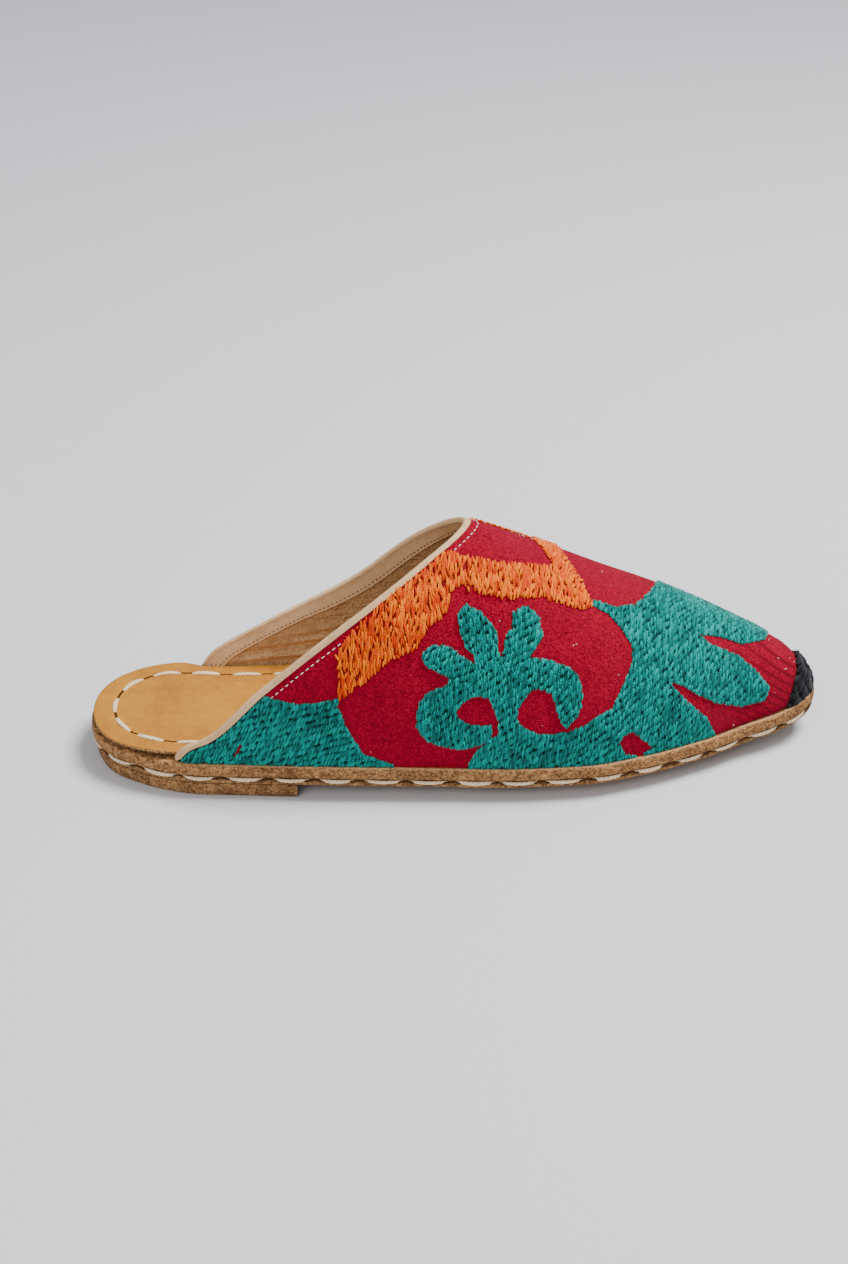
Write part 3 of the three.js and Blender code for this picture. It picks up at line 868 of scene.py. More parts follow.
class Tree:
    """Builds one material's nodes."""

    def __init__(self, name: str) -> None:
        """Starts a material of that name with one principled shader."""
        self.material = bpy.data.materials.new(name)
        self.material.use_nodes = True
        self.nodes = self.material.node_tree.nodes
        self.links = self.material.node_tree.links
        self.shader = self.nodes["Principled BSDF"]

    def feed(self, socket: bpy.types.NodeSocket, value: object) -> None:
        """Links a value into a socket, or sets it there."""
        if isinstance(value, Socket):
            self.links.new(value.out, socket)
        else:
            socket.default_value = value

    def node(self, kind: str, inputs: dict, out: object = 0, **settings: object) -> Socket:
        """Adds a node.

        Args:
            kind: The node's class, without ShaderNode.
            inputs: Values or sockets by the input's name or number.
            out: Name or number of the output that is wanted.
            settings: Its own settings.

        Returns:
            That output.
        """
        made = self.nodes.new("ShaderNode" + kind)
        for key, value in settings.items():
            setattr(made, key, value)
        for key, value in inputs.items():
            self.feed(made.inputs[key], value)
        return Socket(self, made.outputs[out])

    def math(self, kind: str, first: object, second: object = 0.0) -> Socket:
        """Adds one step of reckoning."""
        return self.node("Math", {0: first, 1: second}, operation=kind)

    def coords(self) -> Socket:
        """The object's own coordinates, in metres."""
        return self.node("TexCoord", {}, "Object")

    def attribute(self, name: str, part: str = "Fac") -> Socket:
        """A value kept on the mesh."""
        return self.node("Attribute", {}, part, attribute_name=name)

    def part(self, vector: Socket, axis: str) -> Socket:
        """One part of a vector."""
        return self.node("SeparateXYZ", {"Vector": vector}, axis)

    def scaled(self, vector: Socket, *by: float) -> Socket:
        """A vector stretched along its axes."""
        return self.node("Mapping", {"Vector": vector, "Scale": by})

    def noise(self, at: Socket, scale: float, detail: float = 3.0, rough: float = 0.55) -> Socket:
        """Cloudy noise from 0 to 1, with its scale in turns a metre."""
        inputs = {"Vector": at, "Scale": scale, "Detail": detail, "Roughness": rough}
        return self.node("TexNoise", inputs, "Fac")

    def spots(self, at: Socket, scale: float) -> Socket:
        """Distance to scattered points, with their number in a metre."""
        return self.node("TexVoronoi", {"Vector": at, "Scale": scale}, "Distance")

    def step(self, value: Socket, low: float, high: float, to_low: float = 0.0, to: float = 1.0) -> Socket:
        """A soft step from to_low to another value while a value goes from low to high."""
        inputs = {"Value": value, "From Min": low, "From Max": high, "To Min": to_low, "To Max": to}
        return self.node("MapRange", inputs, interpolation_type="SMOOTHSTEP")

    def ripple(self, turns: Socket) -> Socket:
        """A wave from 0 to 1 that comes back once a turn."""
        return self.math("SINE", turns * 6.283) * 0.5 + 0.5

    def mix(self, share: object, first: object, second: object) -> Socket:
        """One colour mixed into another."""
        return self.node("Mix", {0: share, 6: first, 7: second}, 2, data_type="RGBA")

    def bump(self, height: Socket, distance: float, strength: float) -> Socket:
        """Relief from a height from 0 to 1, with its depth in metres."""
        return self.node("Bump", {"Height": height, "Distance": distance, "Strength": strength})

    def finish(self, colour: object, roughness: float, specular: float = 0.5, **inputs: object) -> Material:
        """Sets the shader's inputs, named with _ for each space, and gives the material."""
        inputs = {"Base_Color": colour, "Roughness": roughness, "Specular_IOR_Level": specular, **inputs}
        for key, value in inputs.items():
            self.feed(self.shader.inputs[key.replace("_", " ")], value)
        return self.material


@dataclass(frozen=True)
class Finish:
    """Colours of the slipper, as linear red, green and blue with full cover."""

    crimson: tuple = (0.37, 0.001, 0.02, 1)
    crimson_dark: tuple = (0.11, 0.0, 0.006, 1)
    crimson_light: tuple = (0.56, 0.015, 0.06, 1)
    crimson_sheen: tuple = (1.0, 0.2, 0.4, 1)
    # Painted shade on the velvet under and round the embroidery: darker crimson by orange, near black by
    # teal.
    shaded_ground_under_orange: tuple = (0.32, 0.003, 0.012, 1)
    painted_shade_under_teal: tuple = (0.002, 0.022, 0.018, 1)
    # Each yarn's pair: one colour as painted shade and as painted highlight, mixed along its fibres and
    # plies.
    teal: tuple = (0.0, 0.085, 0.072, 1)
    teal_light: tuple = (0.0, 0.4, 0.345, 1)
    orange: tuple = (0.62, 0.042, 0.0, 1)
    orange_light: tuple = (1.0, 0.23, 0.0, 1)
    black: tuple = (0.004, 0.004, 0.005, 1)
    black_light: tuple = (0.02, 0.02, 0.024, 1)
    green: tuple = (0.002, 0.05, 0.035, 1)
    green_light: tuple = (0.005, 0.13, 0.09, 1)
    grey: tuple = (0.35, 0.31, 0.26, 1)
    grey_light: tuple = (0.6, 0.55, 0.48, 1)
    insole: tuple = (0.5, 0.21, 0.022, 1)
    insole_dark: tuple = (0.36, 0.135, 0.016, 1)
    binding: tuple = (0.7, 0.455, 0.25, 1)
    binding_dark: tuple = (0.54, 0.33, 0.16, 1)
    lining: tuple = (0.63, 0.38, 0.18, 1)
    lining_dark: tuple = (0.42, 0.235, 0.1, 1)
    edge: tuple = (0.14, 0.062, 0.024, 1)
    edge_light: tuple = (0.56, 0.29, 0.115, 1)
    # edge_dark: dark pits and raw edges, and also the painted shadow on the midsole's top by the upper's
    # foot.
    edge_dark: tuple = (0.04, 0.015, 0.006, 1)
    sole: tuple = (0.53, 0.29, 0.12, 1)
    # rim: painted highlight along the midsole's upper edge.
    rim: tuple = (0.5, 0.29, 0.14, 1)
    thread: tuple = (0.87, 0.68, 0.46, 1)
    # thread_dark: painted shade between the thread's plies and fibres, and its stains.
    thread_dark: tuple = (0.5, 0.34, 0.19, 1)
    brown_thread: tuple = (0.16, 0.07, 0.03, 1)
    cotton: tuple = (0.86, 0.8, 0.74, 1)
    # Painted shade for the notches and grooves that the thread sinks into, laid there as dark strips.
    hole: tuple = (0.05, 0.02, 0.008, 1)
    floor: tuple = (0.66, 0.66, 0.68, 1)


FINISH = Finish()


class Materials:
    """Every finish of the slipper."""

    def __init__(self, colours: Finish) -> None:
        """Keeps the slipper's colours."""
        self.c = colours

    def plain(self, name: str, colour: tuple, roughness: float, specular: float) -> Material:
        """One even colour."""
        return Tree(name).finish(colour, roughness, specular)

    def velvet(self) -> Material:
        """Crimson short-pile cloth, with painted shade under the embroidery and in a soft rim round it."""
        t = Tree("velvet")
        at = t.coords()
        pile = t.noise(at, 1250, 3.0, 0.75)
        cloud = t.noise(at, 60)
        streaks = t.noise(t.scaled(at, 1.0, 1.0, 0.3), 420, 3.0, 0.6)
        shade = t.step(pile * 0.78 + streaks * 0.14 + cloud * 0.08, 0.3, 0.66)
        ground = t.mix(shade, self.c.crimson_dark, self.c.crimson)
        ground = t.mix(t.step(pile, 0.6, 0.78) * 0.5, ground, self.c.crimson_light)
        toe = t.step(t.part(at, "X"), 0.085, 0.12)
        ribs = t.math("SINE", (t.part(at, "X") * 0.6 + t.part(at, "Z") * 0.8) * 2400)
        ground = t.mix(toe * t.step(ribs, 0.2, 1.0) * 0.75, ground, self.c.crimson_dark)
        # tone is the embroidery's blurred cover: the velvet gets painted shade under and round the yarn.
        tone = t.attribute("tone")
        colour = t.mix(t.step(tone, 0.02, 0.5), ground, self.c.shaded_ground_under_orange)
        colour = t.mix(t.step(tone, 0.5, 1.0), colour, self.c.painted_shade_under_teal)
        return t.finish(
            colour, 0.9, 0.08, Normal=t.bump(pile * 0.7 + streaks * 0.3, 0.0009, 0.9), Sheen_Weight=0.12,
            Sheen_Roughness=0.5, Sheen_Tint=self.c.crimson_sheen,
        )

    def yarn(self, name: str, dark: tuple, light: tuple, varied: float) -> Material:
        """Woollen yarn with fibres along it and its own tone in each stitch, with painted highlight on them
        and painted shade between.

        Args:
            name: The material's name.
            dark: Its colour between the fibres, as painted shade.
            light: Its colour on them, as painted highlight.
            varied: How much the tone differs from stitch to stitch.

        Returns:
            The material.
        """
        t = Tree(name)
        strand = t.attribute("strand", "Vector")
        fibres = t.noise(t.scaled(strand, 0.7, 5.0, 1.0), 2.2, 3.0, 0.65)
        ply = t.ripple(t.part(strand, "X") * 1.1 + t.part(strand, "Y") * 1.3)
        cloud = t.noise(t.coords(), 75, 2.0)
        # Painted highlight on the fibres and plies and painted shade between them; tone and cloud vary at
        # random.
        share = fibres * 0.65 + ply * 0.14 + (t.attribute("tone") - 0.5) * varied + cloud * 0.25 - 0.1
        colour = t.mix(t.step(share, 0.12, 0.82), dark, light)
        tint = (light[0] + 0.1, light[1] + 0.1, light[2] + 0.1, 1)
        return t.finish(
            colour, 0.38, 0.12, Normal=t.bump(fibres * 0.6 + ply * 0.4, 0.0004, 0.8), Sheen_Weight=0.02,
            Sheen_Roughness=0.4, Sheen_Tint=tint,
        )

    def thread(self) -> Material:
        """Thick waxed off-white thread with a slight twist, painted shade between its plies and fibres, and
        stains.
        """
        t = Tree("thread")
        strand = t.attribute("strand", "Vector")
        fibres = t.noise(t.scaled(strand, 0.6, 6.0, 1.0), 2.0, 3.0, 0.6)
        ply = t.ripple(t.part(strand, "X") * 0.55 + t.part(strand, "Y") * 2.0)
        stain = t.noise(t.coords(), 260, 3.0, 0.6)
        # Painted shade between the plies and fibres, mixed with the thread's own stains.
        share = t.step(fibres * 0.45 + ply * 0.2 + stain * 0.45, 0.3, 0.7)
        colour = t.mix(share, self.c.thread_dark, self.c.thread)
        return t.finish(colour, 0.65, 0.2, Normal=t.bump(ply * 0.2 + fibres * 0.55, 0.0003, 0.7))

    def smooth_leather(self, name: str, dark: tuple, light: tuple, creases: float = 0.0) -> Material:
        """Smooth leather with soft stains and fine grain, raw where its tone is 1.

        Args:
            name: The material's name.
            dark: Its stains' colour.
            light: Its own colour.
            creases: How deep its fine creases along the slipper are; with any depth their lines also get
                painted shade.

        Returns:
            The material.
        """
        t = Tree(name)
        at = t.coords()
        cloud = t.noise(at, 30, 5.0, 0.62)
        grain = t.noise(at, 1300, 3.0, 0.7)
        fibres = t.noise(at, 260, 4.0, 0.65)
        share = t.step(cloud * 0.5 + fibres * 0.3 + grain * 0.2, 0.38, 0.62)
        height = grain * 0.45 + fibres * 0.25
        if creases:
            long = t.math("ABSOLUTE", t.noise(t.scaled(at, 0.6, 1.0, 1.5), 120, 4.0, 0.6) - 0.5)
            fine = t.math("ABSOLUTE", t.noise(t.scaled(at, 1.6, 1.0, 0.55), 420, 4.0, 0.6) - 0.5)
            # The creases' lines are darkened in colour: painted shade in the creases.
            share = share * t.step(long, 0.0, 0.035, 0.92, 1.0) * t.step(fine, 0.0, 0.05, 0.9, 1.0)
            height = height + (t.step(long, 0.0, 0.07) + t.step(fine, 0.0, 0.1) * 0.5) * creases
        # raw: a raw cut edge's colour; on the insole's side it stands also for painted shade of the gap
        # below.
        raw = t.mix(t.step(grain, 0.4, 0.62), self.c.edge_dark, self.c.sole)
        colour = t.mix(t.attribute("tone"), t.mix(share, dark, light), raw)
        return t.finish(colour, 0.62, 0.2, Normal=t.bump(height, 0.0008, 0.8))

    def raw_edge(self, name: str, light: tuple) -> Material:
        """A raw leather edge full of flecks, with a painted highlight on its rim where its tone is over 0 and
        painted shadow where under.

        Args:
            name: The material's name.
            light: Its light flecks' colour.

        Returns:
            The material.
        """
        t = Tree(name)
        at = t.coords()
        flecks = t.noise(t.scaled(at, 1.0, 1.0, 1.35), 900, 4.0, 0.75)
        coarse = t.noise(at, 300, 3.0, 0.6)
        cloud = t.noise(at, 45)
        colour = t.mix(t.step(flecks * 0.7 + coarse * 0.25 + cloud * 0.15, 0.45, 0.7), self.c.edge, light)
        pits = t.step(t.spots(at, 700), 0.1, 0.34, 0.35, 1.0)
        colour = t.mix(pits, self.c.edge_dark, colour)
        # Tone over 0 gives a pale rim as painted highlight; tone under 0 gives painted shadow by the upper's
        # foot.
        tone = t.attribute("tone")
        rim = t.step(tone, 0.0, 1.0) * t.step(flecks, 0.3, 0.6, 0.35, 1.0)
        colour = t.mix(t.step(tone * -1, 0.0, 1.0), t.mix(rim, colour, self.c.rim), self.c.edge_dark)
        relief = t.bump(flecks * 0.6 + pits * 0.25 + coarse * 0.3, 0.0011, 0.9)
        return t.finish(colour, 0.92, 0.1, Normal=relief)


class Plate:
    """One layer of the sole."""

    TOP_RINGS = 26

    def __init__(self, loop: Array, spine: tuple[float, float], square: tuple | None = None) -> None:
        """Keeps the layer's plan.

        Args:
            loop: The plan's points, counterclockwise from above.
            spine: Where the line that its rings close on starts and ends.
            square: Where a straight front cuts it, and its half width there on the outer and inner side.
        """
        self.loop = loop
        half = len(loop) // 2
        order = np.arange(len(loop))
        share = np.minimum(order, len(loop) - order) / half
        self.spine = np.stack([spine[0] + (spine[1] - spine[0]) * share, np.zeros(len(loop))], 1)
        self.out = outward(loop)[:, :2]
        self.square = square

    @staticmethod
    def outline(form: Form, count: int) -> Array:
        """The sole's plan as a closed loop, with count steps along each side."""
        x = eased(1500) * form.s.length
        return closed(*(evenly(np.stack([x, side * form.half_width(side, x)], 1), count) for side in SIDES))

    def build(
        self, bottom: Callable, thickness: float, side: list[tuple[float, float]], rings: int = TOP_RINGS
    ) -> Layer:
        """Points by ring and by step round the loop.

        Args:
            bottom: Gives the underside's height at points of the plan.
            thickness: The layer's thickness.
            side: Steps down its side: mm out from the loop, share of the thickness from the top.
            rings: Rings on its top and on its underside.

        Returns:
            The points and each ring's height share.
        """
        shares = np.linspace(0, 1, rings, endpoint=False) ** 0.8
        steps = [(side[0][0], share, 1.0) for share in shares]
        steps += [(out, 1.0, 1.0 - down) for out, down in side]
        steps += [(side[-1][0], share, 0.0) for share in shares[::-1]]
        rows = [self._ring(out, share, up, bottom, thickness) for out, share, up in steps]
        return np.array(rows), np.array([up for _, _, up in steps])

    def _ring(self, out: float, share: float, up: float, bottom: Callable, thickness: float) -> Array:
        edge = self.loop + self.out * out
        if self.square:
            front, wide = self.square
            breast = self.loop[:, 0] > front - 3
            edge[breast] = self.loop[breast] + self.out[breast] * out * np.array([0.25, 1.0])
            edge[:, 0] = np.minimum(edge[:, 0], front + 0.25 * out)
            edge[breast, 1] = np.clip(edge[breast, 1], -wide[0] - out, wide[1] + out)
        plan = self.spine + (edge - self.spine) * share
        height = bottom(plan[:, 0], plan[:, 1]) + up * thickness
        return np.concatenate([plan, height[:, None]], 1)


class Slipper:
    """Builds every piece of the slipper."""

    THREAD_PITCH = 16.2
    THREAD_LENGTH = 12.6
    INSOLE_PITCH = 15.2
    INSOLE_STITCH = 11.8
    CREASE_DEPTH = 0.75

    # Steps down each layer's side: mm out from its plan, share of its thickness from the top.
    MIDSOLE_SIDE = [
        (-0.9, 0.0), (-0.45, 0.02), (0.0, 0.08), (0.22, 0.2), (0.3, 0.4), (0.32, 0.6), (0.2, 0.8),
        (-0.25, 0.93),
        (-0.9, 1.0),
    ]
    OUTSOLE_SIDE = [
        (-1.9, 0.0), (-1.7, 0.2), (-1.3, 0.42), (-0.7, 0.56), (-0.55, 0.72), (-0.6, 0.88), (-1.0, 1.0),
    ]
    LIFT_SIDE = [
        (-0.8, 0.0), (-0.8, 0.1), (-0.85, 0.3), (-1.1, 0.5), (-1.5, 0.7), (-1.9, 0.88), (-2.3, 0.97),
        (-2.7, 1.0),
    ]
    INSOLE_SIDE = [(-0.3, 0.0), (0.0, 0.1), (0.05, 0.3), (-0.1, 0.5), (-0.9, 0.72), (-1.7, 1.0)]

    # Creases of the lining: side, start and end from the heel back, height at each, depth, half width.
    CREASES = [
        (INNER, 44, 112, 4, 11, 1.5, 1.3),
        (INNER, 50, 98, 7, 15, -0.9, 1.1),
        (INNER, 56, 128, 9, 20, 1.3, 1.5),
        (INNER, 68, 122, 14, 22, -0.8, 1.2),
        (INNER, 62, 140, 13, 28, 1.0, 1.6),
        (INNER, 76, 150, 6, 8, 1.3, 1.5),
        (INNER, 90, 160, 22, 36, 0.7, 2.2),
        (OUTER, 40, 110, 6, 12, 0.9, 1.6),
        (OUTER, 60, 140, 12, 22, 0.8, 2.0),
    ]

    def __init__(self) -> None:
        """Sets up the form, the finishes and the maker."""
        self.form = FORM
        self.s = SIZES
        self.maker = Maker(self.form)
        self.finish = Materials(FINISH)
        self.wall = Wall(self.form)
        self.skin = Skin(self.form, VIEW)
        self.pattern = Pattern(self.skin, self.wall.rim[::4])
        self.random = np.random.default_rng(11)
        self.thread = self.finish.thread()
        # A dark finish for strips of painted shade in notches and grooves.
        self.hole = self.finish.plain("hole", FINISH.hole, 0.95, 0.05)
        self.cotton = self.finish.plain("cotton", FINISH.cotton, 0.6, 0.2)

    def ride(self, obj: Object, slot: str, *nodes: str) -> None:
        """Joins a piece to the part.

        Args:
            obj: The piece.
            slot: The record's material slot for it; not used.
            nodes: CAD nodes that it stands for.
        """
        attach(obj, "root")
        if nodes:
            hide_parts(*nodes)
        log.info("%s: %d faces", obj.name, len(obj.data.polygons))

    def build(self) -> None:
        """Builds all pieces."""
        self.sole()
        self.insole()
        self.side_thread()
        self.cloth()
        self.lining()
        self.binding()
        self.embroidery()
        self.topline()

    def layer(self, name: str, built: Layer, material: Material, rim: float, node: str) -> None:
        """Makes one raw-edged layer of the sole.

        Args:
            name: The piece's name.
            built: Its points and each ring's height share.
            material: Its finish.
            rim: How strong the painted highlight on its upper rim is; its top face, by the upper's foot, gets
                as much painted shadow.
            node: The CAD node that it stands for.
        """
        rows, heights = built
        # Painted highlight along the side's upper rim, and painted shadow on the top face by the upper's
        # foot.
        tone = smooth(0.93, 0.995, heights)[:, None] * rim * smooth(30, 48, rows[..., 0])
        tone[: Plate.TOP_RINGS] *= -1
        faces = grid_faces(*rows.shape[:2], wrapped=True)
        slot = "welt_leather" if node == "midsole" else "sole_leather"
        self.ride(self.maker.mesh(name, rows, faces, material, tone), slot, node)

    def roughened(self, built: Layer, side: list, depth: float, seed: int) -> Layer:
        """A layer with its side worn unevenly in and out along the loop, to a depth in mm."""
        rows, heights = built
        rng = np.random.default_rng(seed)
        angle = np.linspace(0, 2 * np.pi, rows.shape[1], endpoint=False)
        waves = (5, 9, 14, 23, 37, 61, 90)
        wave = sum(np.sin(angle * turns + rng.random() * 6.28) / turns**0.45 for turns in waves)
        worn = slice(Plate.TOP_RINGS, Plate.TOP_RINGS + len(side))
        rows[worn] += outward(rows[Plate.TOP_RINGS]) * (wave / np.abs(wave).max() * depth)[:, None]
        return rows, heights

    def sole(self) -> None:
        """The midsole's band, the outsole and the heel lift."""
        form, s = self.form, self.s
        plate = Plate(Plate.outline(form, 360), (s.heel_round * 0.7, s.length - s.toe_round))
        built = plate.build(lambda x, y: form.tread(x, y) + s.outsole + s.seam, s.midsole, self.MIDSOLE_SIDE)
        built = self.roughened(built, self.MIDSOLE_SIDE, 0.16, 3)
        edge = self.finish.raw_edge("raw_edge", FINISH.edge_light)
        self.layer("midsole_band", built, edge, 0.9, "midsole")
        leather = self.finish.raw_edge("sole_edge", FINISH.sole)
        built = plate.build(form.tread, s.outsole + 0.25, self.OUTSOLE_SIDE)
        built = self.roughened(built, self.OUTSOLE_SIDE, 0.1, 5)
        self.layer("outsole_leather", built, leather, 0.0, "outsole")
        self.lift(leather)

    def lift(self, leather: Material) -> None:
        """The heel lift, closed by a slightly hollow breast."""
        form, end = self.form, self.s.lift_length
        halves = []
        for side in SIDES:
            x = end * eased(700)
            curve = evenly(np.stack([x, side * form.half_width(side, x)], 1), 170)
            breast = np.array([curve[-1], [end - self.s.breast_hollow, 0.0]])
            halves.append(np.concatenate([curve, evenly(breast, 40)[1:]]))
        wide = [float(form.half_width(side, np.array([end]))[0]) for side in SIDES]
        plate = Plate(closed(*halves), (end * 0.4, end * 0.75), (end, wide))
        built = plate.build(lambda x, y: np.zeros_like(x), self.s.lift, self.LIFT_SIDE, rings=8)
        self.layer("heel_lift_leather", built, leather, 0.0, "heel_lift")

    def insole_loop(self, count: int) -> Array:
        """The insole's plan: near the sole's edge at the heel and clear of the upper's wall ahead."""
        form, s = self.form, self.s
        beside = s.welt_edge + s.wall + 2 * s.seam - s.insole_inset
        halves = []
        x = s.length * eased(1500)
        plan_x = s.insole_inset + (s.length - s.insole_tip - s.insole_inset) * x / s.length
        for side in SIDES:
            end = form.end[side]
            away = s.insole_inset + beside * smooth(end - 9, end + 5, x)
            y = side * (form.half_width(side, x) - away * form.rounded(x) ** 0.5)
            halves.append(evenly(np.stack([plan_x, y], 1), count))
        return closed(*halves)

    def insole_top(self, x: Array, y: Array) -> Array:
        """Height of the insole's top at a point of the plan."""
        return self.form.seat(x, y) + self.s.seam + self.s.insole

    def insole(self) -> None:
        """The insole with its sewing round the heel."""
        form, s = self.form, self.s
        plate = Plate(self.insole_loop(300), (s.heel_round * 0.7, s.length - s.toe_round - s.insole_tip))
        rows, heights = plate.build(
            lambda x, y: form.seat(x, y) + s.seam, s.insole, self.INSOLE_SIDE, rings=40
        )
        x, y = rows[..., 0], rows[..., 1]
        edge = smooth(0.78, 1.0, -y / form.half_width(OUTER, x))
        rows[..., 2] += s.insole_edge_raise * edge * smooth(12, 25, x) * (1 - smooth(26, 37, x))
        leather = self.finish.smooth_leather("insole_leather", FINISH.insole_dark, FINISH.insole)
        # tone darkens the insole's side: its raw cut edge, and painted shade of the gap between insole and
        # midsole.
        tone = np.repeat((1 - smooth(0.75, 0.99, heights))[:, None], rows.shape[1], 1)
        faces = grid_faces(*rows.shape[:2], wrapped=True)
        self.ride(self.maker.mesh("insole_leather", rows, faces, leather, tone), "insole_leather", "insole")
        self.insole_thread(plate)

    @staticmethod
    def _between(at: Array, over: float, count: int) -> Array:
        """Places from each stitch's end to the next one's start, reaching under both by over."""
        gap = at[1:, :1] - at[:-1, -1:] + 2 * over
        return at[:-1, -1:] - over + np.linspace(0, 1, count) * gap

    def insole_thread(self, plate: Plate) -> None:
        """Thick stitches round the heel, inset from the insole's edge, with dark strips of painted shade as a
        groove between them.
        """
        loop = plate.loop - plate.out * self.s.insole_thread_inset
        quarter = len(loop) // 4
        ring = np.concatenate([loop[-quarter:], loop[:quarter]])
        ring = ring[ring[:, 0] < self.s.insole_thread_reach]
        ring = ring[np.argsort(np.unwrap(np.arctan2(ring[:, 1], 60 - ring[:, 0])))]
        window = np.ones(31) / 31
        padded = np.pad(ring, ((15, 15), (0, 0)), mode="edge")
        line = evenly(np.stack([np.convolve(column, window, "valid") for column in padded.T], 1), 2400)
        run = measured(line)
        starts = np.arange(4.0, run[-1] - self.INSOLE_STITCH, self.INSOLE_PITCH)
        count = len(starts)
        share = np.linspace(0, 1, 17)
        starts = starts + self.random.uniform(-0.5, 0.5, count)
        at = starts[:, None] + share * (self.INSOLE_STITCH + self.random.uniform(-0.7, 0.7, count))[:, None]
        x, y = np.moveaxis(follow(at, run, line), -1, 0)
        path = np.stack([x, y, self.insole_top(x, y) - 0.75 + np.sin(np.pi * share) ** 0.35], -1)
        up = np.array([0.0, 0.0, 1.0])
        width = self.random.uniform(1.7, 2.1, count)
        upward = np.broadcast_to(up, path.shape)
        soup = strands(path, upward, width, width * 0.6, 12, 4, whole=True, blunt=2.6)
        self.ride(self.maker.soup("insole_thread", soup, self.thread), "insole_leather")
        # Dark strips between the stitches: painted shade of the groove.
        x, y = np.moveaxis(follow(self._between(at, 1.2, 9), run, line), -1, 0)
        groove = np.stack([x, y, self.insole_top(x, y) + 0.02], -1)
        groove[..., :2] += self.random.normal(0, 0.12, (count - 1, 9, 2))
        width = self.random.uniform(0.55, 1.0, count - 1)
        soup = strands(groove, np.broadcast_to(up, groove.shape), width, width * 0.12, 4, 9)
        self.ride(self.maker.soup("insole_thread_groove", soup, self.hole), "insole_leather")

    def side_thread(self) -> None:
        """Thick stitches round the sole, between midsole and outsole, with a dark strip of painted shade as a
        notch from one to the next.
        """
        loop = Plate.outline(self.form, 900)
        out = outward(loop)
        plan = loop + out[:, :2] * -0.75
        z = self.form.tread(*plan.T) + self.s.outsole - 0.55
        line = np.concatenate([plan, z[:, None]], 1)
        line, out = (np.concatenate([each, each[:1]]) for each in (line, out))
        run = measured(line)
        starts = np.arange(5.0, run[-1] - self.THREAD_PITCH, self.THREAD_PITCH)
        starts = starts + self.random.uniform(-0.7, 0.7, len(starts))
        share = np.linspace(0, 1, 21)
        length = self.THREAD_LENGTH + self.random.uniform(-1.0, 1.0, len(starts))
        at = starts[:, None] + share * length[:, None]
        away = unit(follow(at, run, out))
        path = follow(at, run, line) + away * (np.sin(np.pi * share) ** 0.4 * 1.15 - 0.75)[None, :, None]
        path[..., 2] += (np.sin(np.pi * share) * -0.35 + 0.25)[None, :]
        width = self.random.uniform(1.3, 1.65, len(starts))
        soup = strands(path, away, width, width * 0.7, 12, 6, whole=True, blunt=2.6)
        self.ride(self.maker.soup("side_thread", soup, self.thread), "sole_leather")
        # Dark strips between the stitches: painted shade of the notches.
        between = self._between(at, 1.6, 11)
        away = unit(follow(between, run, out))
        notch = follow(between, run, line) + away * 0.62
        notch[..., 2] += 0.1 + 0.75 * np.sin(np.pi * np.linspace(0, 1, 11)) ** 2
        notch[..., 2] += self.random.normal(0, 0.07, notch.shape[:2])
        width = self.random.uniform(0.5, 0.85, len(notch))
        soup = strands(notch, away, width, width * 0.4, 5, 10)
        self.ride(self.maker.soup("side_notches", soup, self.hole), "sole_leather")

    def cloth(self) -> None:
        """The upper's velvet outside."""
        points = self.wall.points
        # tone: the embroidery's blurred cover, which the velvet paints as shade under and round it.
        tone = self.pattern.cover(self.wall.x, self.wall.across)
        faces = grid_faces(*points.shape[:2])
        obj = self.maker.mesh("upper_cloth", points, faces, self.finish.velvet(), tone)
        self.ride(obj, "embroidered_cloth", "upper")

    def wall_at(self, below: Array) -> Array:
        """The wall's thickness at mm below the collar's edge, where it thins into the binding."""
        return self.s.thin_wall + (self.s.wall - self.s.thin_wall) * smooth(0, self.s.facing, below)

    def lining(self) -> None:
        """The leather lining, with creases low on its sides."""
        wall = self.wall
        depth = self.wall_at(wall.depth[:, ::-1])
        x, y, z = np.moveaxis(wall.points, -1, 0)
        height = z - self.form.feather_height(x)
        for side, start, end, low, high, size, width in self.CREASES:
            share = np.clip((x - start) / (end - start), 0, 1)
            line = low + (high - low) * share
            pressed = np.sin(np.pi * share) ** 0.6 * np.exp(-(((height - line) / width) ** 2))
            depth = depth + np.where((y > 0) == (side == INNER), self.CREASE_DEPTH * size * pressed, 0.0)
        points = wall.inward(wall.points, wall.normals, depth)
        points[:, 0, 2] = z[:, 0]
        leather = self.finish.smooth_leather("lining_leather", FINISH.lining_dark, FINISH.lining, 0.6)
        faces = grid_faces(*points.shape[:2])[:, ::-1]
        obj = self.maker.mesh("upper_lining", points, faces, leather, np.zeros(points.shape[:2]))
        self.ride(obj, "binding_leather")

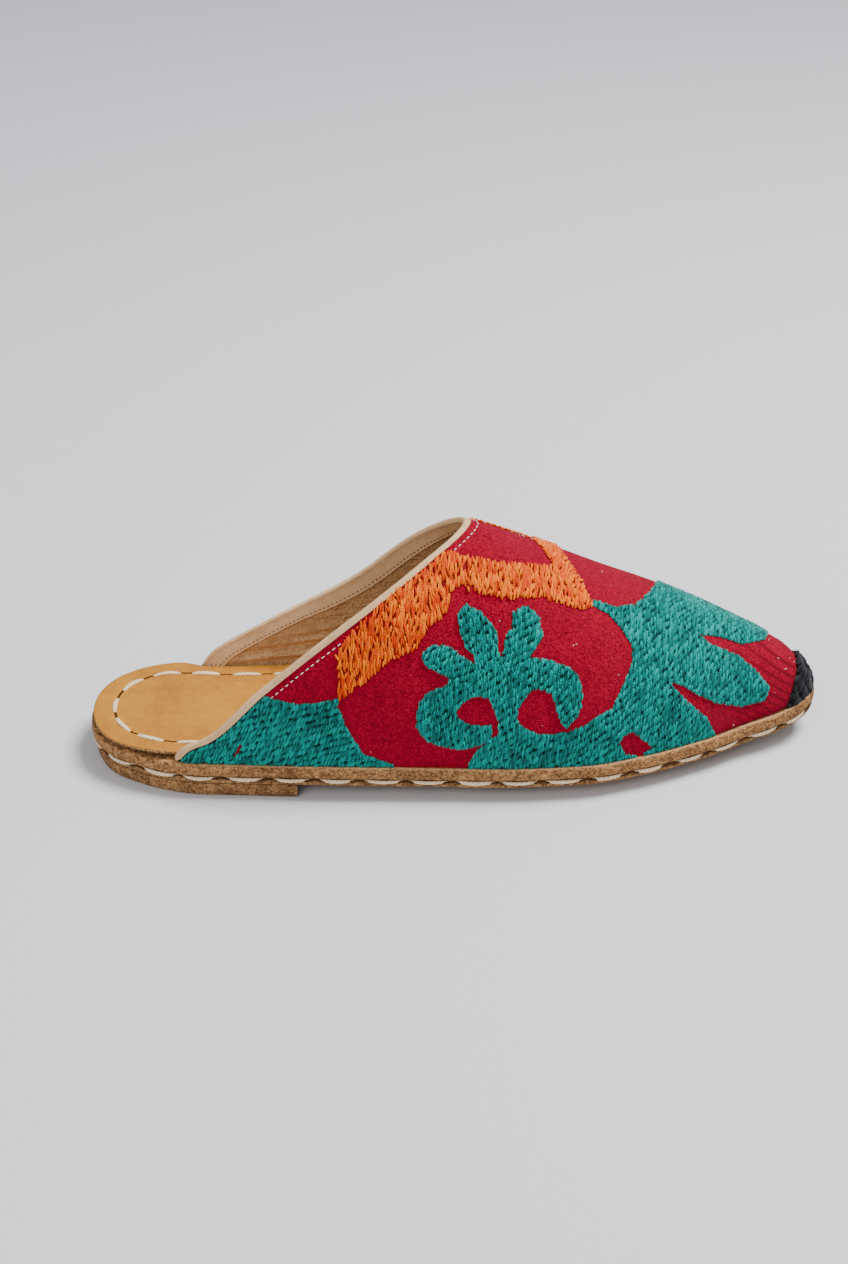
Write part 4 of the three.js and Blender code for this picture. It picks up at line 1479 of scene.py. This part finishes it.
    def binding(self) -> None:
        """The leather binding over the collar, with its facing sewn down inside."""
        s, below = self.s, self.wall.below
        length = self.wall.depth[:, -1]
        leg = np.minimum(s.binding, 0.5 * length)
        facing = np.minimum(s.facing, length - s.insole - 2 * s.seam)
        skin = s.binding_gap + s.folded
        lines = [below(leg, 0.05), below(leg, skin * 0.6)]
        lines += [below(leg * share, skin) for share in (0.94, 0.75, 0.5, 0.25)]
        face = s.thin_wall + skin
        for turn in np.linspace(0, np.pi, 11):
            out = (skin - face) / 2 + (skin + face) / 2 * math.cos(turn)
            lines.append(below(np.full(len(length), -0.8 * math.sin(turn)), out))
        for share in (0.06, 0.12, 0.2, 0.3, 0.4, 0.5, 0.6, 0.7, 0.78, 0.84, 0.9, 0.94, 0.97):
            swell = 0.25 * math.exp(-(((share - 0.92) / 0.05) ** 2))
            lines.append(below(facing * share, -(self.wall_at(facing * share) + skin + swell)))
        lines += [below(facing, -(self.wall_at(facing) + more)) for more in (skin * 0.6, -0.05)]
        rows = np.array(lines)
        leather = self.finish.smooth_leather("binding_leather", FINISH.binding_dark, FINISH.binding)
        tone = np.zeros(rows.shape[:2])
        tone[:2] = 0.7
        tone[-2:] = 0.5
        faces = grid_faces(*rows.shape[:2])[:, ::-1]
        obj = self.maker.mesh("collar_binding_leather", rows, faces, leather, tone)
        self.ride(obj, "binding_leather", "collar_binding")
        self.facing_seam(facing * 0.76, skin)

    def facing_seam(self, below: Array, skin: float) -> None:
        """Brown machine stitches at mm below the collar, on a facing that stands skin mm off the wall."""
        depth = self.wall_at(below) + skin
        line = self.wall.below(below, -(depth + 0.02))
        up = unit(self.wall.below(below, -(depth + 1.0)) - line)
        brown = self.finish.plain("brown_thread", FINISH.brown_thread, 0.7, 0.5)
        soup = self.running(line, up, 1.1, 0.7, 0.45, 0.24)
        self.ride(self.maker.soup("facing_seam", soup, brown), "binding_leather")

    @staticmethod
    def running(
        line: Array, up: Array, length: float, gap: float, width: float, height: float,
        keep: Callable | None = None,
    ) -> Soup:
        """Short machine stitches along a line on a face.

        Args:
            line: The line's points.
            up: Which way is up at each.
            length: A stitch's length.
            gap: From one stitch to the next.
            width: The thread's width.
            height: The thread's height.
            keep: Tells which stitches are kept, from their last points.

        Returns:
            The stitches.
        """
        run = measured(line)
        share = np.linspace(0, 1, 4)
        at = np.arange(2.0, run[-1] - length, length + gap)[:, None] + share * length
        way = unit(follow(at, run, up))
        path = follow(at, run, line) + way * (np.sin(np.pi * share) * 0.12 - 0.03)[None, :, None]
        if keep is not None:
            wanted = keep(path[:, 3])
            path, way = path[wanted], way[wanted]
        size = np.full(len(path), width)
        return strands(path, way, size, size * height / width, 5, 8)

    def bare(self, points: Array) -> Array:
        """Whether points of the upper lie off the embroidery."""
        form = self.form
        x, y, z = points.T
        side = np.where(y < 0, OUTER, INNER)
        rise = (z - form.feather_height(x)) / form.ridge(x)
        by_width = np.abs(y) / np.maximum(form.feather_width(side, x), 1e-6)
        by_rise = np.maximum(0, 1 - np.clip(rise, 0, 1) ** 2) ** (1 / form.fullness(x))
        return self.pattern.cover(x, side * np.where(rise > 0.6, by_width, by_rise)) < 0.3

    def topline(self) -> None:
        """White machine stitches below the binding, where the ground is bare."""
        depth = np.minimum(self.s.binding + 2.7, self.wall.depth[:, -1] * 0.8)
        line = self.wall.below(depth, 0.05)
        up = unit(self.wall.below(depth, 1.0) - line)
        soup = self.running(line, up, 1.5, 0.85, 0.36, 0.28, self.bare)
        self.ride(self.maker.soup("topline_seam", soup, self.cotton), "embroidered_cloth")

    def embroidery(self) -> None:
        """Raised yarn stitches in every patch, one object for each colour, and loose fibres."""
        groups: dict[Yarn, list[Soup]] = {}
        for number, patch in enumerate(PATCHES, start=1):
            if (self.pattern.map == number).any():
                groups.setdefault(patch.yarn, []).append(self.patch_stitches(number, patch))
        for yarn, soups in groups.items():
            key = yarn.name.lower()
            name = "yarn_" + key
            dark, light = getattr(FINISH, key), getattr(FINISH, key + "_light")
            material = self.finish.yarn(name, dark, light, LAYS[yarn].varied)
            self.ride(self.maker.soup(name, join(soups), material), "embroidered_cloth")
            numbers = [n for n, patch in enumerate(PATCHES, start=1) if patch.yarn is yarn]
            where = np.isin(self.pattern.map, numbers)
            self.fuzz(name + "_fuzz", where, int(where.sum() * 0.016), 1.9, 0.5, material, 0.065)
        bare = (self.pattern.map == 0) & self.pattern.upper
        pile = self.finish.yarn("pile", FINISH.crimson_dark, FINISH.crimson_light, 0.42)
        self.fuzz("velvet_pile", bare, 4200, 0.75, -0.05, pile, 0.075)
        self.fuzz("lint", bare, 46, 1.3, 0.05, self.cotton, 0.16)

    def fuzz(
        self, name: str, where: Array, count: int, reach: float, above: float, material: Material,
        width: float,
    ) -> None:
        """Loose fibres standing off the upper.

        Args:
            name: The object's name.
            where: The cells of the pattern's map that they grow from.
            count: How many there are.
            reach: Their greatest length.
            above: How far over the cloth they start.
            material: Their finish.
            width: Their width.
        """
        skin = self.skin
        rng = np.random.default_rng(len(name))
        rows, columns = np.nonzero(where)
        pick = rng.integers(0, len(rows), count)
        t = self.pattern.t[rows[pick], 0] + rng.uniform(-0.12, 0.12, count)
        k = np.clip((columns[pick] + rng.uniform(-0.5, 0.5, count)) / Pattern.CELLS, 0.002, 0.998)
        t = np.clip(t, 0, self.pattern.end)
        base = skin.read(skin.points, t, k)
        normal = unit(skin.read(skin.normals, t, k))
        drift = rng.normal(0, 1, (count, 3))
        drift = unit(drift - normal * (drift * normal).sum(1, keepdims=True))
        share = np.linspace(0, 1, 5)[None, :, None]
        size = (rng.uniform(0.35, 1.0, count) * reach)[:, None, None]
        stand = rng.uniform(0.25, 0.75, count)[:, None, None]
        rise = above + size * stand * np.sin(share * np.pi * 0.6)
        path = base[:, None] + normal[:, None] * rise + drift[:, None] * size * share**1.4 * (1.1 - stand)
        wide = np.full(count, width)
        soup = strands(path, np.broadcast_to(normal[:, None], path.shape), wide, wide * 0.5, 2, count)
        self.ride(self.maker.soup(name, soup, material), "embroidered_cloth")

    def patch_stitches(self, number: int, patch: Patch) -> Soup:
        """Stitches laid in rows over one patch, which has that number in the pattern."""
        lay = LAYS[patch.yarn]
        skin = self.skin
        rng = np.random.default_rng(100 + number)
        cos, sin = math.cos(math.radians(patch.lie)), math.sin(math.radians(patch.lie))
        here = self.pattern.map == number
        t0, g0 = self.pattern.t[here], self.pattern.g[here]
        p0, q0 = t0 * cos + g0 * sin, g0 * cos - t0 * sin
        step = 0.2
        q = np.arange(q0.min(), q0.max(), lay.pitch)
        q = q + rng.uniform(-0.12, 0.12, len(q)) * lay.pitch
        p = np.arange(p0.min() - 1, p0.max() + 1, step)
        grid_q, grid_p = np.meshgrid(q, p, indexing="ij")
        t = grid_p * cos - grid_q * sin
        k = (grid_p * sin + grid_q * cos) / np.maximum(skin.girth_at(t), 1.0)
        sewn = self.pattern.patch_at(t, k) == number
        sewn[:, [0, -1]] = False
        stray = np.cumsum(rng.normal(0, 0.16, len(q)))[:, None]
        shift = grid_q * lay.slope + stray + rng.uniform(-lay.uneven, lay.uneven, (len(q), 1))
        cell = np.floor((grid_p - shift) / lay.length).astype(int)
        begins, ends = (
            sewn & (~np.roll(sewn, way, axis=1) | (cell != np.roll(cell, way, axis=1))) for way in (1, -1)
        )
        column, first = np.nonzero(begins)
        last = np.nonzero(ends)[1]
        span = (last - first + 1) * step
        keep = (span > 0.55) & (rng.random(len(span)) > lay.missing)
        column, first, last = column[keep], first[keep], last[keep]
        count = len(column)
        lowest = cell.min()
        pits = rng.random((len(q) + 1, cell.max() - lowest + 2)) < lay.pitted
        at_low = pits[column, cell[column, first] - lowest]
        at_high = pits[column, cell[column, last] - lowest + 1]
        at_low &= cell[column, first] == cell[column, np.maximum(first - 1, 0)] + 1
        at_high &= cell[column, last] == cell[column, np.minimum(last + 1, len(p) - 1)] - 1
        low = p[first] + np.where(at_low, lay.pit, -rng.uniform(0.0, lay.ragged, count))
        high = p[last] + step - np.where(at_high, lay.pit, -rng.uniform(0.0, lay.ragged, count))
        high = np.maximum(high, low + 0.5)
        share = np.linspace(0, 1, 5)
        path_p = low[:, None] + (high - low)[:, None] * share
        slant = rng.normal(0, lay.slant, (count, 1)) * (share - 0.5)
        bend = rng.normal(0, 0.05, (count, 1)) * np.sin(np.pi * share)
        path_q = q[column][:, None] + slant + bend + rng.normal(0, 0.03, (count, 1))
        path_t = np.clip(path_p * cos - path_q * sin, 0, skin.t[-1] - 0.05)
        path_k = np.clip((path_p * sin + path_q * cos) / skin.girth_at(path_t), 0.001, 0.999)
        normal = unit(skin.read(skin.normals, path_t, path_k))
        sink = np.where(np.stack([at_low, at_high], 1), 1.0, 0.55)
        near_low = np.maximum(0, 1 - share * 4)[None] ** 2 * sink[:, :1]
        near_high = np.maximum(0, 1 - (1 - share) * 4)[None] ** 2 * sink[:, 1:]
        near_end = near_low + near_high
        swell = rng.uniform(0.75, 1.2, (count, 1))
        raised = lay.raised * swell * (1 - 0.95 * near_end) - 0.12
        path = skin.read(skin.points, path_t, path_k) + normal * raised[..., None]
        size = lay.width * rng.uniform(0.85, 1.15, count)
        return strands(path, normal, size, size * 0.7, 4, number, taper=np.maximum(1 - 0.55 * near_end, 0.2))


class Studio:
    """Floor, lights and camera."""

    REACH = 3000
    BEND_START = 1500
    BEND = 900
    TOP = 4000

    def __init__(self, maker: Maker, materials: Materials) -> None:
        """Keeps what turns mm into the part's frame, and the finishes."""
        self.maker = maker
        self.materials = materials

    def build(self) -> None:
        """Sets the stage."""
        self.floor()
        self.lights()
        self.camera()

    def floor(self) -> None:
        """A pale sheet that curves up behind the slipper."""
        x = np.linspace(-self.REACH, self.REACH, 3) + SIZES.length / 2
        turn = np.linspace(0, np.pi / 2, 24)[1:]
        end = self.BEND_START + self.BEND
        flat = np.linspace(-self.REACH, self.BEND_START, 20)
        y = np.concatenate([flat, self.BEND_START + self.BEND * np.sin(turn), [end]])
        z = np.concatenate([np.zeros(20), self.BEND - self.BEND * np.cos(turn), [self.TOP]])
        points = np.stack(np.broadcast_arrays(x[:, None], y, z), -1)
        sheet = self.materials.plain("floor", FINISH.floor, 0.85, 0.15)
        self.maker.mesh("backdrop", points, grid_faces(3, len(y))[:, ::-1], sheet)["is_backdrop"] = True

    @staticmethod
    def _aimed(name: str, data: object, place: Vector, way: Vector) -> Object:
        """Puts a lamp or the camera in its place, looking along a direction."""
        obj = bpy.data.objects.new(name, data)
        obj.location = place
        obj.rotation_mode = "QUATERNION"
        obj.rotation_quaternion = way.to_track_quat("-Z", "Y")
        bpy.context.scene.collection.objects.link(obj)
        return obj

    def area(self, name: str, place: tuple, size: float, power: float, colour: tuple = (1, 1, 1)) -> None:
        """One round soft light aimed at the slipper."""
        data = bpy.data.lights.new(name, "AREA")
        data.shape = "DISK"
        data.size = size
        data.energy = power
        data.color = colour
        self._aimed(name, data, Vector(place), Vector((0, 0, 0.03)) - Vector(place))

    def lights(self) -> None:
        """A broad key from above on the right, a fill in front and an even sky."""
        self.area("key", (0.65, 0.1, 1.45), 0.7, 43.0)
        self.area("fill", (-0.7, -1.3, 1.0), 1.0, 12.0, (1.0, 0.98, 0.96))
        world = bpy.data.worlds.new("studio")
        world.use_nodes = True
        back = world.node_tree.nodes["Background"]
        back.inputs[0].default_value = (0.9, 0.94, 1.0, 1)
        back.inputs[1].default_value = 0.53
        bpy.context.scene.world = world

    def camera(self) -> None:
        """The photo's view."""
        data = bpy.data.cameras.new("camera")
        data.sensor_fit = "AUTO"
        data.sensor_width = 36.0
        data.lens = Station.FOCAL.value / Station.TALL.value * data.sensor_width
        data.clip_start = 0.01
        data.clip_end = 50.0
        place = Vector(self.maker.place(VIEW.place))
        bpy.context.scene.camera = self._aimed("camera", data, place, Vector(-VIEW.back))


def write_size(key: str, sizes: dict) -> dict:
    """Adds the shown object's lowest and highest corners to what is known of its size."""
    low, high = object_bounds()
    sizes[key] = [list(low), list(high)]
    return sizes


def main() -> None:
    """Builds the slipper and its stage."""
    logging.basicConfig(level=logging.INFO)
    sizes = write_size("cad", {})
    slipper = Slipper()
    slipper.build()
    Studio(slipper.maker, slipper.finish).build()
    write_size("visual", sizes)


if __name__ == "__main__":
    main()
